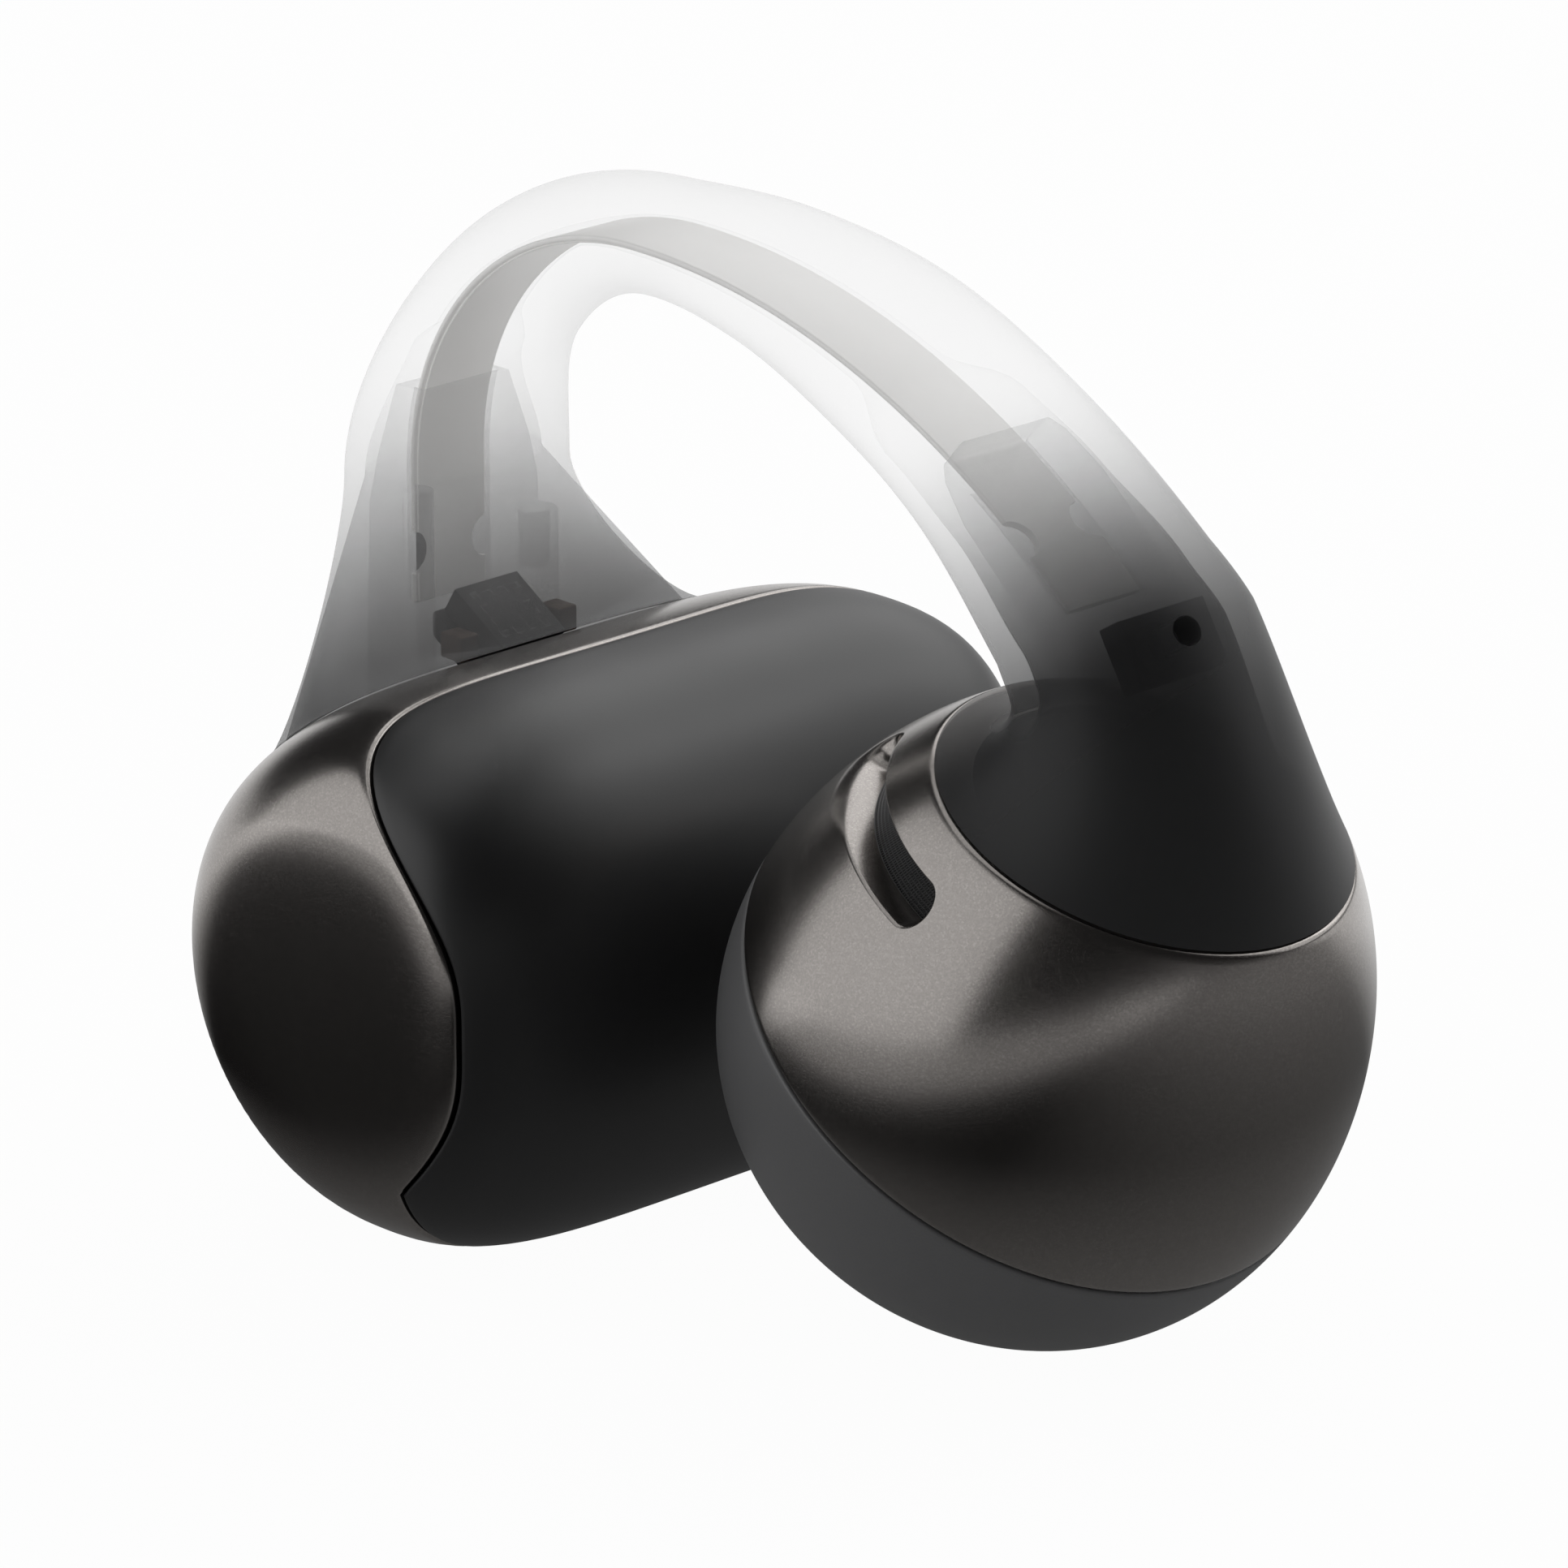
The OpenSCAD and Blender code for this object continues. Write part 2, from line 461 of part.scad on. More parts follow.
terminal_in = 3.9;                            // the terminals' inner side, behind the capsule's axis
module rear_terminals() color("#8a5a3c") for (s = [-1, 1])
    translate([capsule_x - terminal_in - terminal.x, s*port_w/2 - terminal.y/2, back_z(terminal_in) + fit])
        cube(terminal);

// The front anchor stands on the neck plug
front_len = 4.3;                              // reach of the front anchor up the strip
front_past = 1.45;                            // reach of the front anchor past the strip's end
module front_anchor() color("#dfe3e6", 0.6) {
    side = [[-front_len, 1.3], [0.4 - front_len, 1.55], [1.5 - front_len, 1.8], [front_past, 1.9]];
    difference() {
        translate(tip_at) rotate([0, tip_slope, 0]) translate([0, 0, -anchor_t/2]) linear_extrude(anchor_t)
            polygon(concat([for (p = side) [p.x, -p.y]], [for (i = [len(side) - 1:-1:0]) side[i]]));
        strip_way();
    }
    leg_out = -1.5;
    leg_w = 1;
    leg_top = tip_rise - (leg_out + tip_in)*tan(tip_slope - neck_tilt) - anchor_t/2;
    at_neck() translate([leg_out, -1.4, plug_high + fit]) cube([leg_w, 2.8, leg_top - plug_high - fit]);
}

// Egg shells, drawn about the egg's own axis
function egg_arc(lo, hi, inset, n) = [for (i = [0:n]) let (z = lo + (hi - lo)*i/n) [egg_r(z, inset), z]];
module egg_shell(lo, hi, outer, inner, n) rotate_extrude()
    polygon(concat(egg_arc(lo, hi, outer, n), egg_arc(hi, lo, inner, n)));

module egg_body(lo, hi, inset, n) rotate_extrude()
    polygon(concat([[0, lo]], egg_arc(lo, hi, inset, n), [[0, hi]]));

// The outlet slot lies in a plane that leans across the egg
slot_lean = 14;
slot_rise = 3.55;
lean_turn = 80;
module slot_frame() in_ball() translate([0, 0, slot_rise]) rotate([0, 0, lean_turn])
    rotate([-slot_lean, 0, 0]) rotate([0, 0, slot_turn - lean_turn]) children();
module arc_bar(lo, hi, w, arc) slot_frame() rotate([0, 0, -arc/2]) rotate_extrude(angle = arc, $fn = 96)
    translate([lo, -w/2]) square([hi - lo, w]);
module slot_cut(w) {
    arc_bar(ball_d/4, ball_d, w, slot_arc);
    slot_frame() for (s = [-1, 1]) rotate([0, 0, s*slot_arc/2]) rotate([0, 90, 0])
        translate([0, 0, ball_d/4]) cylinder(h = ball_d, d = w, $fn = 32);
}
module ball_band() color("#6a6663") difference() {
    in_ball() egg_shell(-cap_drop, ball_len/2 - 0.4, 0, ball_wall, 30);
    above_neck(0, ball_len);
    slot_cut(slot_w);
}
mesh_t = 0.1;
carrier_t = 0.6;
carrier_out = ball_wall + mesh_t + 2*fit;     // the carrier's outer side, from the egg's skin
carrier_w = 1.7;
carrier_arc = slot_arc + 14;
module outlet_mesh() color("#222325") intersection() {
    in_ball() egg_shell(0, ball_len/2 - 1.5, ball_wall + fit, ball_wall + fit + mesh_t, 24);
    arc_bar(ball_d/5, ball_d, carrier_w - 0.2, carrier_arc - 4);
}
module outlet_carrier() color("#2b2c2e") difference() {
    intersection() {
        in_ball() egg_shell(0, ball_len/2 - 2.6, carrier_out, carrier_out + carrier_t, 20);
        arc_bar(ball_d/5, ball_d, carrier_w, carrier_arc);
    }
    slot_cut(slot_w);
}

// The cap's lip slides into the band, and its ledge carries the main board
lip_h = 0.8;
lip_t = 0.5;
board_d = ball_d - board_room;
board_low = -4.6;                             // underside of the main board on the egg's axis
ledge_t = 0.4;
module ball_cap() color("#3c3d3f") in_ball() {
    low = -ball_len/2 + 0.02;
    edge = -cap_drop - seam;
    ledge = board_low - ledge_t;
    rotate_extrude() polygon(concat(
        [[0, low]], egg_arc(low, edge, 0, 24),
        [for (p = [[fit, 0], [fit, lip_h], [lip_t, lip_h], [lip_t, 0]])
            [egg_r(edge + p[1], ball_wall + p[0]), edge + p[1]]],
        egg_arc(edge - lip_t, board_low, ball_wall, 10),
        [[board_d/2 - 0.3, board_low], [board_d/2 - 0.3, ledge]],
        egg_arc(ledge, -ball_len/2 + ball_wall + 0.02, ball_wall, 10),
        [[0, -ball_len/2 + ball_wall + 0.02]]));
}

// The neck plug closes the band under the sleeve's skirt
plug_inset = skirt_wall + loose;
plug_t = 0.6;
wire_d = 1.2;
module neck_plug() color("#2b2c2e") difference() {
    intersection() {
        in_ball() egg_body(0.5, ball_len/2 - plug_inset - 0.1, plug_inset, 24);
        above_neck(-plug_low, plug_high);
    }
    intersection() {
        in_ball() egg_body(0, ball_len/2 - plug_inset - plug_t - 0.1, plug_inset + plug_t, 24);
        above_neck(-ball_len, plug_high - plug_t);
    }
    at_neck() translate([1.6, 0, 0]) cylinder(h = 2*plug_high, d = wire_d, $fn = 32);
}

// Microphone under its port in the sleeve
mic_place = 2.3;
mic_y = -0.65;
mic_box = [1.5, 2.6, 0.65];
mic_low = 0.62;                               // the module's base, outward from the bridge's middle line
module at_mic(y) let (o = outward(mic_place)) translate(spine(mic_place) + [0, y, 0])
    rotate([0, atan2(o.x, o.z), 0]) children();
module mic_port(d) at_mic(mic_y) cylinder(h = ball_d, d = d, $fn = 32);
module mic_module() color("#161719") difference() {
    at_mic(0) translate([-mic_box.x/2, -mic_box.y/2, mic_low]) cube(mic_box);
    at_mic(mic_y) translate([0, 0, mic_low + 0.3]) cylinder(h = 2, d = mic_port_d, $fn = 32);
}
tube_t = 0.15;
tube_h = 0.25;
module mic_tube() color("#dfe3e6", 0.6) at_mic(mic_y) translate([0, 0, mic_low + mic_box.z]) difference() {
    cylinder(h = tube_h, d = mic_port_d + 2*tube_t, $fn = 32);
    translate([0, 0, -eps]) cylinder(h = 1, d = mic_port_d, $fn = 32);
}

// ---- speaker, about the egg's axis; heights are from the egg's middle
driver_d = ball_d - driver_room;
rim_z = 0.2;
floor_z = rim_z - driver_h + 0.2;
gap_in = 0.17;                                // radial clearances of the voice coil
coil_t = 0.18;
coil_r = coil_d/2;
yoke_t = 0.5;
yoke_in = coil_r + coil_t/2 + 0.2;
plate_r = coil_r - coil_t/2 - gap_in;
magnet_h = 1;
plate_h = 0.4;
plate_top = floor_z + yoke_t + magnet_h + plate_h;
module disc(z, h, r) in_ball() translate([0, 0, z]) cylinder(h = h, r = r);
module ring(z, h, r_in, r_out) in_ball() translate([0, 0, z]) difference() {
    cylinder(h = h, r = r_out);
    translate([0, 0, -eps]) cylinder(h = h + 2*eps, r = r_in);
}
module speaker_yoke() color("#b9bcbe") in_ball() rotate_extrude()
    polygon([[0, floor_z], [yoke_in + yoke_t, floor_z], [yoke_in + yoke_t, plate_top],
             [yoke_in, plate_top], [yoke_in, floor_z + yoke_t], [0, floor_z + yoke_t]]);
module speaker_magnet() color("#8d9194") disc(floor_z + yoke_t, magnet_h, plate_r);
module speaker_top_plate() color("#c4c7c9") disc(floor_z + yoke_t + magnet_h, plate_h, plate_r);
basket_t = 0.4;
module speaker_basket() color("#26272a") in_ball() rotate_extrude()
    polygon([[yoke_in + yoke_t + fit, plate_top - basket_t], [driver_d/2, plate_top - basket_t],
             [driver_d/2, rim_z], [driver_d/2 - basket_t, rim_z], [driver_d/2 - basket_t, plate_top],
             [yoke_in + yoke_t + fit, plate_top]]);
film = 0.08;
cone_r = driver_d/2 - 1.2;
coil_top = plate_top + stroke + 0.12;
module voice_coil() color("#a8643a") ring(coil_top - 1.15, 1.15, coil_r - coil_t/2, coil_r + coil_t/2);
module diaphragm() color("#d9d4c6") in_ball() rotate_extrude()
    polygon(concat([for (i = [0:8]) let (r = coil_r*i/8) [r, coil_top + film + 0.45*(1 - i*i/64)]],
                   [[cone_r, rim_z + film], [cone_r, rim_z], [coil_r + coil_t/2, coil_top]],
                   [for (i = [8:-1:0]) let (r = coil_r*i/8) [r, coil_top + 0.45*(1 - i*i/64)]]));
roll_rise = 0.6;                              // height of the surround's roll, over its half width
module surround() {
    mid = (cone_r + driver_d/2 - basket_t)/2;
    roll = driver_d/2 - basket_t - mid - fit;
    rim = driver_d/2 - 2*fit;
    function over(a, up) = [mid - roll*cos(a), rim_z + roll_rise*roll*sin(a) + up];
    color("#2e2f31") in_ball() rotate_extrude()
        polygon(concat([for (a = [0:15:180]) over(a, film)], [[rim, rim_z + film], [rim, rim_z + eps]],
                       [for (a = [180:-15:0]) over(a, eps)]));
}
module speaker_ring() color("#1f2022") ring(rim_z + film + eps, 0.35, driver_d/2 - basket_t, driver_d/2);
gasket_h = 0.6;
riser_w = 2.4;
module speaker_gasket() color("#3a3230") difference() {
    ring(-gasket_h/2, gasket_h, driver_d/2 + fit, egg_r(gasket_h/2, ball_wall + fit));
    in_ball() translate([driver_d/2 - 1, -riser_w/2 - 0.1, -2]) cube([3, riser_w + 0.2, 4]);
}

// ---- main board stack
module main_board() color("#1d3b2a") disc(board_low, board_t, board_d/2 - fit);
radio_a = 3.2;
radio_h = 0.7;
module radio_chip() color("#121314") in_ball() translate([-radio_a/2, -radio_a/2, board_low - radio_h])
    cube([radio_a, radio_a, radio_h]);
socket_box = [1.1, 2.6, 0.8];
socket_x = 3;
module board_socket() color("#d8d2c4") in_ball()
    translate([socket_x - socket_box.x, -socket_box.y/2, board_low + board_t]) cube(socket_box);
riser_t = 0.1;
module riser_flex() color("#a8702e") in_ball() rotate([90, 0, 0]) linear_extrude(riser_w, center = true)
    polygon(let (x0 = socket_x, x1 = driver_d/2 + 0.08, z0 = board_low + board_t + 0.3, z1 = 2.6)
        [[x0, z0], [x1, z0 + 1], [x1, z1 - 1], [x1 - 1.6, z1], [x1 - 1.6 + riser_t, z1 + riser_t],
         [x1 + riser_t, z1 - 1 + riser_t/2], [x1 + riser_t, z0 + 1 - riser_t/2], [x0, z0 - riser_t]]);

capsule_shell();
capsule_cover();
cell_cradle();
cell_can();
cell_top_cap();
cell_insulator();
cell_tabs();
capsule_board();
charger_chip();
board_plug();
touch_electrode();
far_touch_electrode();
dock_magnets();
charge_pins();
rear_anchor();
sensor_chip();
sensor_carrier();
rear_terminals();
spring_strip();
bridge_flex();
bridge_sleeve();
front_anchor();
neck_plug();
mic_module();
mic_tube();
ball_band();
ball_cap();
outlet_carrier();
outlet_mesh();
speaker_basket();
speaker_yoke();
speaker_magnet();
speaker_top_plate();
speaker_ring();
speaker_gasket();
surround();
diaphragm();
voice_coil();
main_board();
radio_chip();
board_socket();
riser_flex();
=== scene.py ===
"""Open-ear clip earphone: pearl shells, soft-touch covers and a see-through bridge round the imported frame."""
import math

import bpy
import numpy as np
from mathutils import Matrix, Vector


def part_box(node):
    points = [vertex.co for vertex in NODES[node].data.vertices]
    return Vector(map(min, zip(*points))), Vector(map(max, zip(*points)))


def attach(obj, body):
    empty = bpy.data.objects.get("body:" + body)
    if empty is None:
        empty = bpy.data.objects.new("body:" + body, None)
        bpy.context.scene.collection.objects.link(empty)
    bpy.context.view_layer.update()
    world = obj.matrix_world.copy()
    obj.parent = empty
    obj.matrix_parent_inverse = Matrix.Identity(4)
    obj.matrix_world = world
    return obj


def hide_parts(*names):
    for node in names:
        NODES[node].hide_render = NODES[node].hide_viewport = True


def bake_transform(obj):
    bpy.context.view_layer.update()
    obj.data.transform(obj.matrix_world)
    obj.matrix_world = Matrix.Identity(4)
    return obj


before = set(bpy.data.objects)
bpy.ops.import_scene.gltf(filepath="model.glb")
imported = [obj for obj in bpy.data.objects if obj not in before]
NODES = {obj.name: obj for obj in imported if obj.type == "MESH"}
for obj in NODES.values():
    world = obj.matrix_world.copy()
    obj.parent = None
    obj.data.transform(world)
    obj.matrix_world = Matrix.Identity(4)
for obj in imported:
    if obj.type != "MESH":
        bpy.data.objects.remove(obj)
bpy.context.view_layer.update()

MM = 0.001
HALVINGS = 34                                 # steps of each search by halving


def corners(node):
    """Lowest and highest corner of a CAD node, in millimetres."""
    low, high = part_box(node)
    return np.array(low)/MM, np.array(high)/MM


# ---- driving sizes, in millimetres, read off the frame where it holds them
shell_low, shell_high = corners("capsule_shell")
strip_low, strip_high = corners("spring_strip")
CAPSULE_LEN = shell_high[1] - shell_low[1]
CAPSULE_HALF = (shell_high[2] - shell_low[2])/2
CAPSULE_BACK = 6.85
CAPSULE_FRONT = 4.9
CAPSULE_X = shell_low[0] + CAPSULE_BACK
WALL = 0.7
FACET_DEPTH = 0.19
END_ROUND = 4.5
FRONT_SQUARE = 2.65
COVER_TOP, COVER_END, COVER_BOTTOM = 95, 67.5, 79
SEAM = 0.06
FIT = 0.05

BALL_LEN, BALL_D, BALL_TAPER, BALL_TILT = 15.8, 13.7, 0.17, 36.5
CAP_DROP = 1.4
NECK_TILT, NECK_RISE = 22, 5.1
SLOT_W, SLOT_ARC, SLOT_TURN = 1.0, 54, -132
SLOT_LEAN, SLOT_RISE, LEAN_TURN = 14, 3.55, 80

CROWN_H, CROWN_AHEAD = 22.1, 0.85
STRIP_W = strip_high[1] - strip_low[1]
STRIP_T, FLEX_T = 0.14, 0.05
STRIP_BACK, LEG_FOOT, LEG_RISE = 6.25, 6.0, 9.2
NOTCH_R, NOTCH_UP, NOTCH_IN = 0.5, 1.15, 1.95
SKIRT_WALL = 0.7
FOOT_W = 6.6


def deg(a):
    return np.radians(a)


# ---- forms
def egg_radius(z, inset=0.0):
    """Radius of the egg at a height along its own axis."""
    t = np.clip(z/(BALL_LEN/2 - inset), -1, 1)
    return (BALL_D/2 - inset)*np.sqrt(np.maximum(0, 1 - t*t))*(1 - BALL_TAPER*t)


def egg_reach(angle):
    """How far the egg reaches from its middle towards an angle in the XZ plane."""
    z = BALL_LEN/2*np.sin(deg(np.arange(-90, 90.1, 2.25)))
    lean = deg(90 - BALL_TILT - angle)
    return np.max(z*np.cos(lean) + egg_radius(z)*abs(np.sin(lean)))


BALL = np.array([max(corners(n)[1][0] for n in ("ball_band", "ball_cap")) - egg_reach(0), 0, egg_reach(-90)])
EGG_AXES = np.array([[math.cos(deg(BALL_TILT)), 0, -math.sin(deg(BALL_TILT))], [0, 1, 0],
                     [math.sin(deg(BALL_TILT)), 0, math.cos(deg(BALL_TILT))]])


def from_egg(p):
    """Points given about the egg's own axis, in the shared frame."""
    return BALL + p @ EGG_AXES


def egg_side(p, inset=0.0):
    """Negative inside the egg, positive outside it."""
    q = (p - BALL) @ EGG_AXES.T
    return np.hypot(q[..., 0], q[..., 1]) - egg_radius(q[..., 2], inset)


def skin_distance(start, direction, inset):
    """How far rays from inside the egg run to its skin, or to a skin further in."""
    low, high = np.zeros(len(direction)), np.full(len(direction), float(BALL_D))
    for _ in range(HALVINGS):
        middle = (low + high)/2
        inside = egg_side(start + middle[:, None]*direction, inset) < 0
        low, high = np.where(inside, middle, low), np.where(inside, high, middle)
    return low[:, None]


NECK_OUT = np.array([math.cos(deg(NECK_TILT)), 0, -math.sin(deg(NECK_TILT))])
NECK_UP = np.array([math.sin(deg(NECK_TILT)), 0, math.cos(deg(NECK_TILT))])
NECK_AT = BALL + NECK_RISE*NECK_UP


def neck_ring(angle, lift, inset):
    """Where the neck's plane, lifted, cuts the egg, at angles round the neck."""
    direction = np.cos(deg(angle))[:, None]*NECK_OUT + np.sin(deg(angle))[:, None]*np.array([0, 1, 0])
    start = np.broadcast_to(NECK_AT, direction.shape) + np.reshape(lift, (-1, 1))*NECK_UP
    return start + skin_distance(start, direction, inset)*direction


# The bridge's middle line: rear shoulder, front shoulder, wrist
LEG_X = CAPSULE_X - STRIP_BACK
CROWN_X = CAPSULE_X + CROWN_AHEAD
ROUND_K = 0.5523
TIP_SLOPE, TIP_IN, TIP_RISE = 41, 2.45, 3.65
FRONT_PULL, WRIST_PULL, NECK_PULL = 5.0, 1.8, 2.2
TIP_AT = NECK_AT - TIP_IN*NECK_OUT + TIP_RISE*NECK_UP
TIP_DIR = np.array([math.cos(deg(TIP_SLOPE)), 0, -math.sin(deg(TIP_SLOPE))])
LEG_Z = CAPSULE_HALF + LEG_FOOT
LEG_TOP = np.array([LEG_X, 0, CAPSULE_HALF + LEG_RISE])
CROWN = np.array([CROWN_X, 0, CROWN_H])
UP = np.array([0, 0, 1.0])
ALONG_X = np.array([1.0, 0, 0])
ARCS = np.array([
    [LEG_TOP, LEG_TOP + ROUND_K*(CROWN_H - LEG_TOP[2])*UP, CROWN - ROUND_K*(CROWN_X - LEG_X)*ALONG_X, CROWN],
    [CROWN, CROWN + FRONT_PULL*ALONG_X, TIP_AT - FRONT_PULL*TIP_DIR, TIP_AT],
    [TIP_AT, TIP_AT + WRIST_PULL*TIP_DIR, NECK_AT + NECK_PULL*NECK_UP, NECK_AT]])


def bezier(p, t):
    """Points of cubic curves; p holds four points, or four arrays of points."""
    t = np.asarray(t)[..., None]
    return (1-t)**3*p[0] + 3*t*(1-t)**2*p[1] + 3*t*t*(1-t)*p[2] + t**3*p[3]


def spine(t):
    """Point, direction and outward side of the bridge's middle line at each place t, from 0 to 3."""
    t = np.atleast_1d(np.asarray(t, float))
    arc = np.minimum(t.astype(int), 2)
    s = (t - arc)[:, None]
    p = [ARCS[arc, i] for i in range(4)]
    at = bezier(p, t - arc)
    along = (1-s)**2*(p[1] - p[0]) + 2*s*(1-s)*(p[2] - p[1]) + s*s*(p[3] - p[2])
    along /= np.linalg.norm(along, axis=1)[:, None]
    out = np.stack([-along[:, 2], np.zeros(len(t)), along[:, 0]], 1)
    return at, along, out


# Sections of the sleeve along the middle line: place, outer side, inner side, half width
SLEEVE = [(0, 1.1, 2.5, 2.95), (0.5, 1.25, 2, 2), (1, 1.35, 1.3, 1.55), (1.25, 1.85, 1.35, 1.8),
          (1.5, 2.3, 1.55, 2.2), (1.75, 2.3, 1.65, 2.55), (2, 2.35, 2.4, 2.8), (2.3, 2.55, 2.5, 3.05),
          (3, 3, 3, 3.6)]
SNUG_FACE, SNUG_SIDE = 0.15, 0.225            # room round the strip and the flex inside the sleeve
SNUG = (STRIP_T/2 + SNUG_FACE, STRIP_T/2 + FLEX_T + SNUG_FACE, STRIP_W/2 + SNUG_SIDE)
HOLLOW = [(0, 0.75, 1.75, 2.4), (0.28, 0.65, 0.85, 1.6), (0.36, *SNUG), (1.5, *SNUG), (1.64, 0.98, 0.98, 2.1),
          (1.8, 1.15, 1.15, 2.2), (2, 1.55, 1.7, 2.3), (2.3, 1.8, 1.85, 2.4), (3, 2.2, 2.4, 3)]
CUFF_T = 2.25


def size_at(table, t, column, soft):
    """A size between the table's rows, on a smooth curve; soft 0 levels off at each row."""
    table = np.array(table, float)
    places, values = table[:, 0], table[:, column]
    slopes = np.zeros(len(table))
    slopes[1:-1] = soft*(values[2:] - values[:-2])/(places[2:] - places[:-2])
    i = np.clip(np.searchsorted(places, t, side="right") - 1, 0, len(table) - 2)
    w = places[i+1] - places[i]
    s = (t - places[i])/w
    return (values[i]*(1 + 2*s)*(1-s)**2 + slopes[i]*w*s*(1-s)**2
            + values[i+1]*s*s*(3 - 2*s) - slopes[i+1]*w*s*s*(1-s))


def section(t, angle, table, soft):
    """Points on the round of the bridge's section at place t."""
    at, _, out = spine(t)
    c = np.cos(deg(angle))
    reach = np.where(c > 0, size_at(table, t, 1, soft), size_at(table, t, 2, soft))
    side = np.sin(deg(angle))*size_at(table, t, 3, soft)
    return at + out*(c*reach)[:, None] + side[:, None]*np.array([0, 1, 0])


END_B = CAPSULE_LEN/2 + FACET_DEPTH


def hull_radius(u, y):
    """Radius of the capsule about its axis, at an angle from +X and a place along it."""
    q = (1 - (np.abs(y)/END_B)**END_ROUND)**(1/END_ROUND)
    a = np.where(np.cos(deg(u)) > 0, CAPSULE_FRONT, CAPSULE_BACK)
    n = np.where(np.cos(deg(u)) > 0, FRONT_SQUARE, 2.0)
    return q/((np.abs(np.cos(deg(u)))/a)**n + (np.abs(np.sin(deg(u)))/CAPSULE_HALF)**n)**(1/n)


FOOT_U, FOOT_DU = 141.5, 23.5
FOOT_FILLET = 1.25
FOOT_INNER, FOOT_BEFORE = 0.88, 0.97          # shares of the foot: its inner edge, and a point short of its rim


def half_round(v):
    """Fills a circle's outline out towards a rounded rectangle."""
    return np.sign(v)*np.abs(v)**(2/3)


def foot(angle, share, off):
    """The outline of the sleeve's foot on the capsule's skin."""
    u = FOOT_U + share*FOOT_DU*half_round(np.cos(deg(angle)))
    y = share*FOOT_W*half_round(np.sin(deg(angle)))
    r = hull_radius(u, y) + off
    return np.stack([CAPSULE_X + r*np.cos(deg(u)), y, CAPSULE_HALF + r*np.sin(deg(u))], 1)


def unit(v):
    """Vectors brought to length 1."""
    return v/np.linalg.norm(v, axis=-1, keepdims=True)


def flare(s, angle):
    """The sleeve's fillet from its first section out to its foot."""
    low = foot(angle, 1, FIT)
    top = section(np.zeros(len(angle)), angle, SLEEVE, 1)
    run = unit(foot(angle, FOOT_BEFORE, FIT) - low)
    return bezier([top, top - FOOT_FILLET*UP, low + FOOT_FILLET*run, low], s)


CUFF_PULL, SKIN_PULL, SKIN_STEP = 0.25, 0.4, 0.3


def cuff(s, angle, table, soft, inset):
    """The sleeve's end, which runs onto the egg in line with its skin."""
    t = np.full(len(angle), CUFF_T)
    top = section(t, angle, table, soft)
    low = neck_ring(angle, SEAM, inset)
    up = unit(neck_ring(angle, SEAM + SKIN_STEP, inset) - low)
    d = np.linalg.norm(top - low, axis=1)[:, None]
    return bezier([top, top + CUFF_PULL*d*spine(CUFF_T)[1], low + SKIN_PULL*d*up, low], s)


FACET_BLEND = 80                              # sharpness of the edge round the flat facets


def capsule_point(theta, phi, inset):
    """The capsule's skin from its middle: theta from +X, phi round X from +Y."""
    round_x = np.sin(deg(theta))
    d = np.stack([np.cos(deg(theta)), round_x*np.cos(deg(phi)), round_x*np.sin(deg(phi))], 1)
    ahead = d[:, 0] > 0
    a = np.where(ahead, CAPSULE_FRONT, CAPSULE_BACK) - inset
    n = np.where(ahead, FRONT_SQUARE, 2.0)
    q = ((np.abs(d[:, 0])/a)**n + (np.abs(d[:, 2])/(CAPSULE_HALF - inset))**n)**(1/n)
    f = (q**END_ROUND + (np.abs(d[:, 1])/(END_B - inset))**END_ROUND)**(1/END_ROUND)
    g = np.abs(d[:, 1])/(CAPSULE_LEN/2 - inset)
    top = np.maximum(f, g)
    r = 1/(top*((f/top)**FACET_BLEND + (g/top)**FACET_BLEND)**(1/FACET_BLEND))
    return np.array([CAPSULE_X, 0, CAPSULE_HALF]) + r[:, None]*d


EDGE_RUN = 29                                 # how far round X the edge's dip at each end reaches, in degrees


def cover_edge(phi):
    """The parting line between cover and shell, as an angle from +X."""
    phi = (phi + 180) % 360 - 180
    from_end = np.minimum(np.abs(phi), np.abs(np.abs(phi) - 180))
    top = COVER_TOP - (COVER_TOP - COVER_END)*np.exp(-(from_end/EDGE_RUN)**3)
    return np.where(phi < 0, np.minimum(top, COVER_BOTTOM), top)


# ---- modelling helpers
def only(piece):
    """Selects one piece alone and makes it active."""
    bpy.ops.object.select_all(action="DESELECT")
    piece.select_set(True)
    bpy.context.view_layer.objects.active = piece


def primitive(name, add, **settings):
    """A new mesh primitive with a name of its own."""
    bpy.ops.object.select_all(action="DESELECT")
    add(**settings)
    piece = bpy.context.object
    piece.name = piece.data.name = name
    return piece


def places(piece):
    """Every vertex's place, in Blender's metres."""
    flat = np.empty(3*len(piece.data.vertices))
    piece.data.vertices.foreach_get("co", flat)
    return flat.reshape(-1, 3)


def move_to(piece, points):
    """Moves every vertex to a place in millimetres."""
    piece.data.vertices.foreach_set("co", (points*MM).ravel())


def net(name, rows, columns, place):
    """A grid primitive rolled up: place gets each point's row number and its share round the column way."""
    piece = primitive(name, bpy.ops.mesh.primitive_grid_add, x_subdivisions=rows, y_subdivisions=columns, size=1)
    flat = places(piece) + 0.5
    move_to(piece, place(np.rint(flat[:, 0]*rows).astype(int), np.rint(flat[:, 1]*columns) % columns/columns))
    bpy.ops.object.mode_set(mode="EDIT")
    bpy.ops.mesh.select_all(action="SELECT")
    bpy.ops.mesh.remove_doubles(threshold=1e-7)
    bpy.ops.mesh.normals_make_consistent(inside=False)
    bpy.ops.object.mode_set(mode="OBJECT")
    return piece


def modify(piece, kind, **settings):
    """Adds one modifier, sets it and applies it."""
    only(piece)
    modifier = piece.modifiers.new(kind.title(), kind)
    for key, value in settings.items():
        setattr(modifier, key, value)
    bpy.ops.object.modifier_apply(modifier=modifier.name)


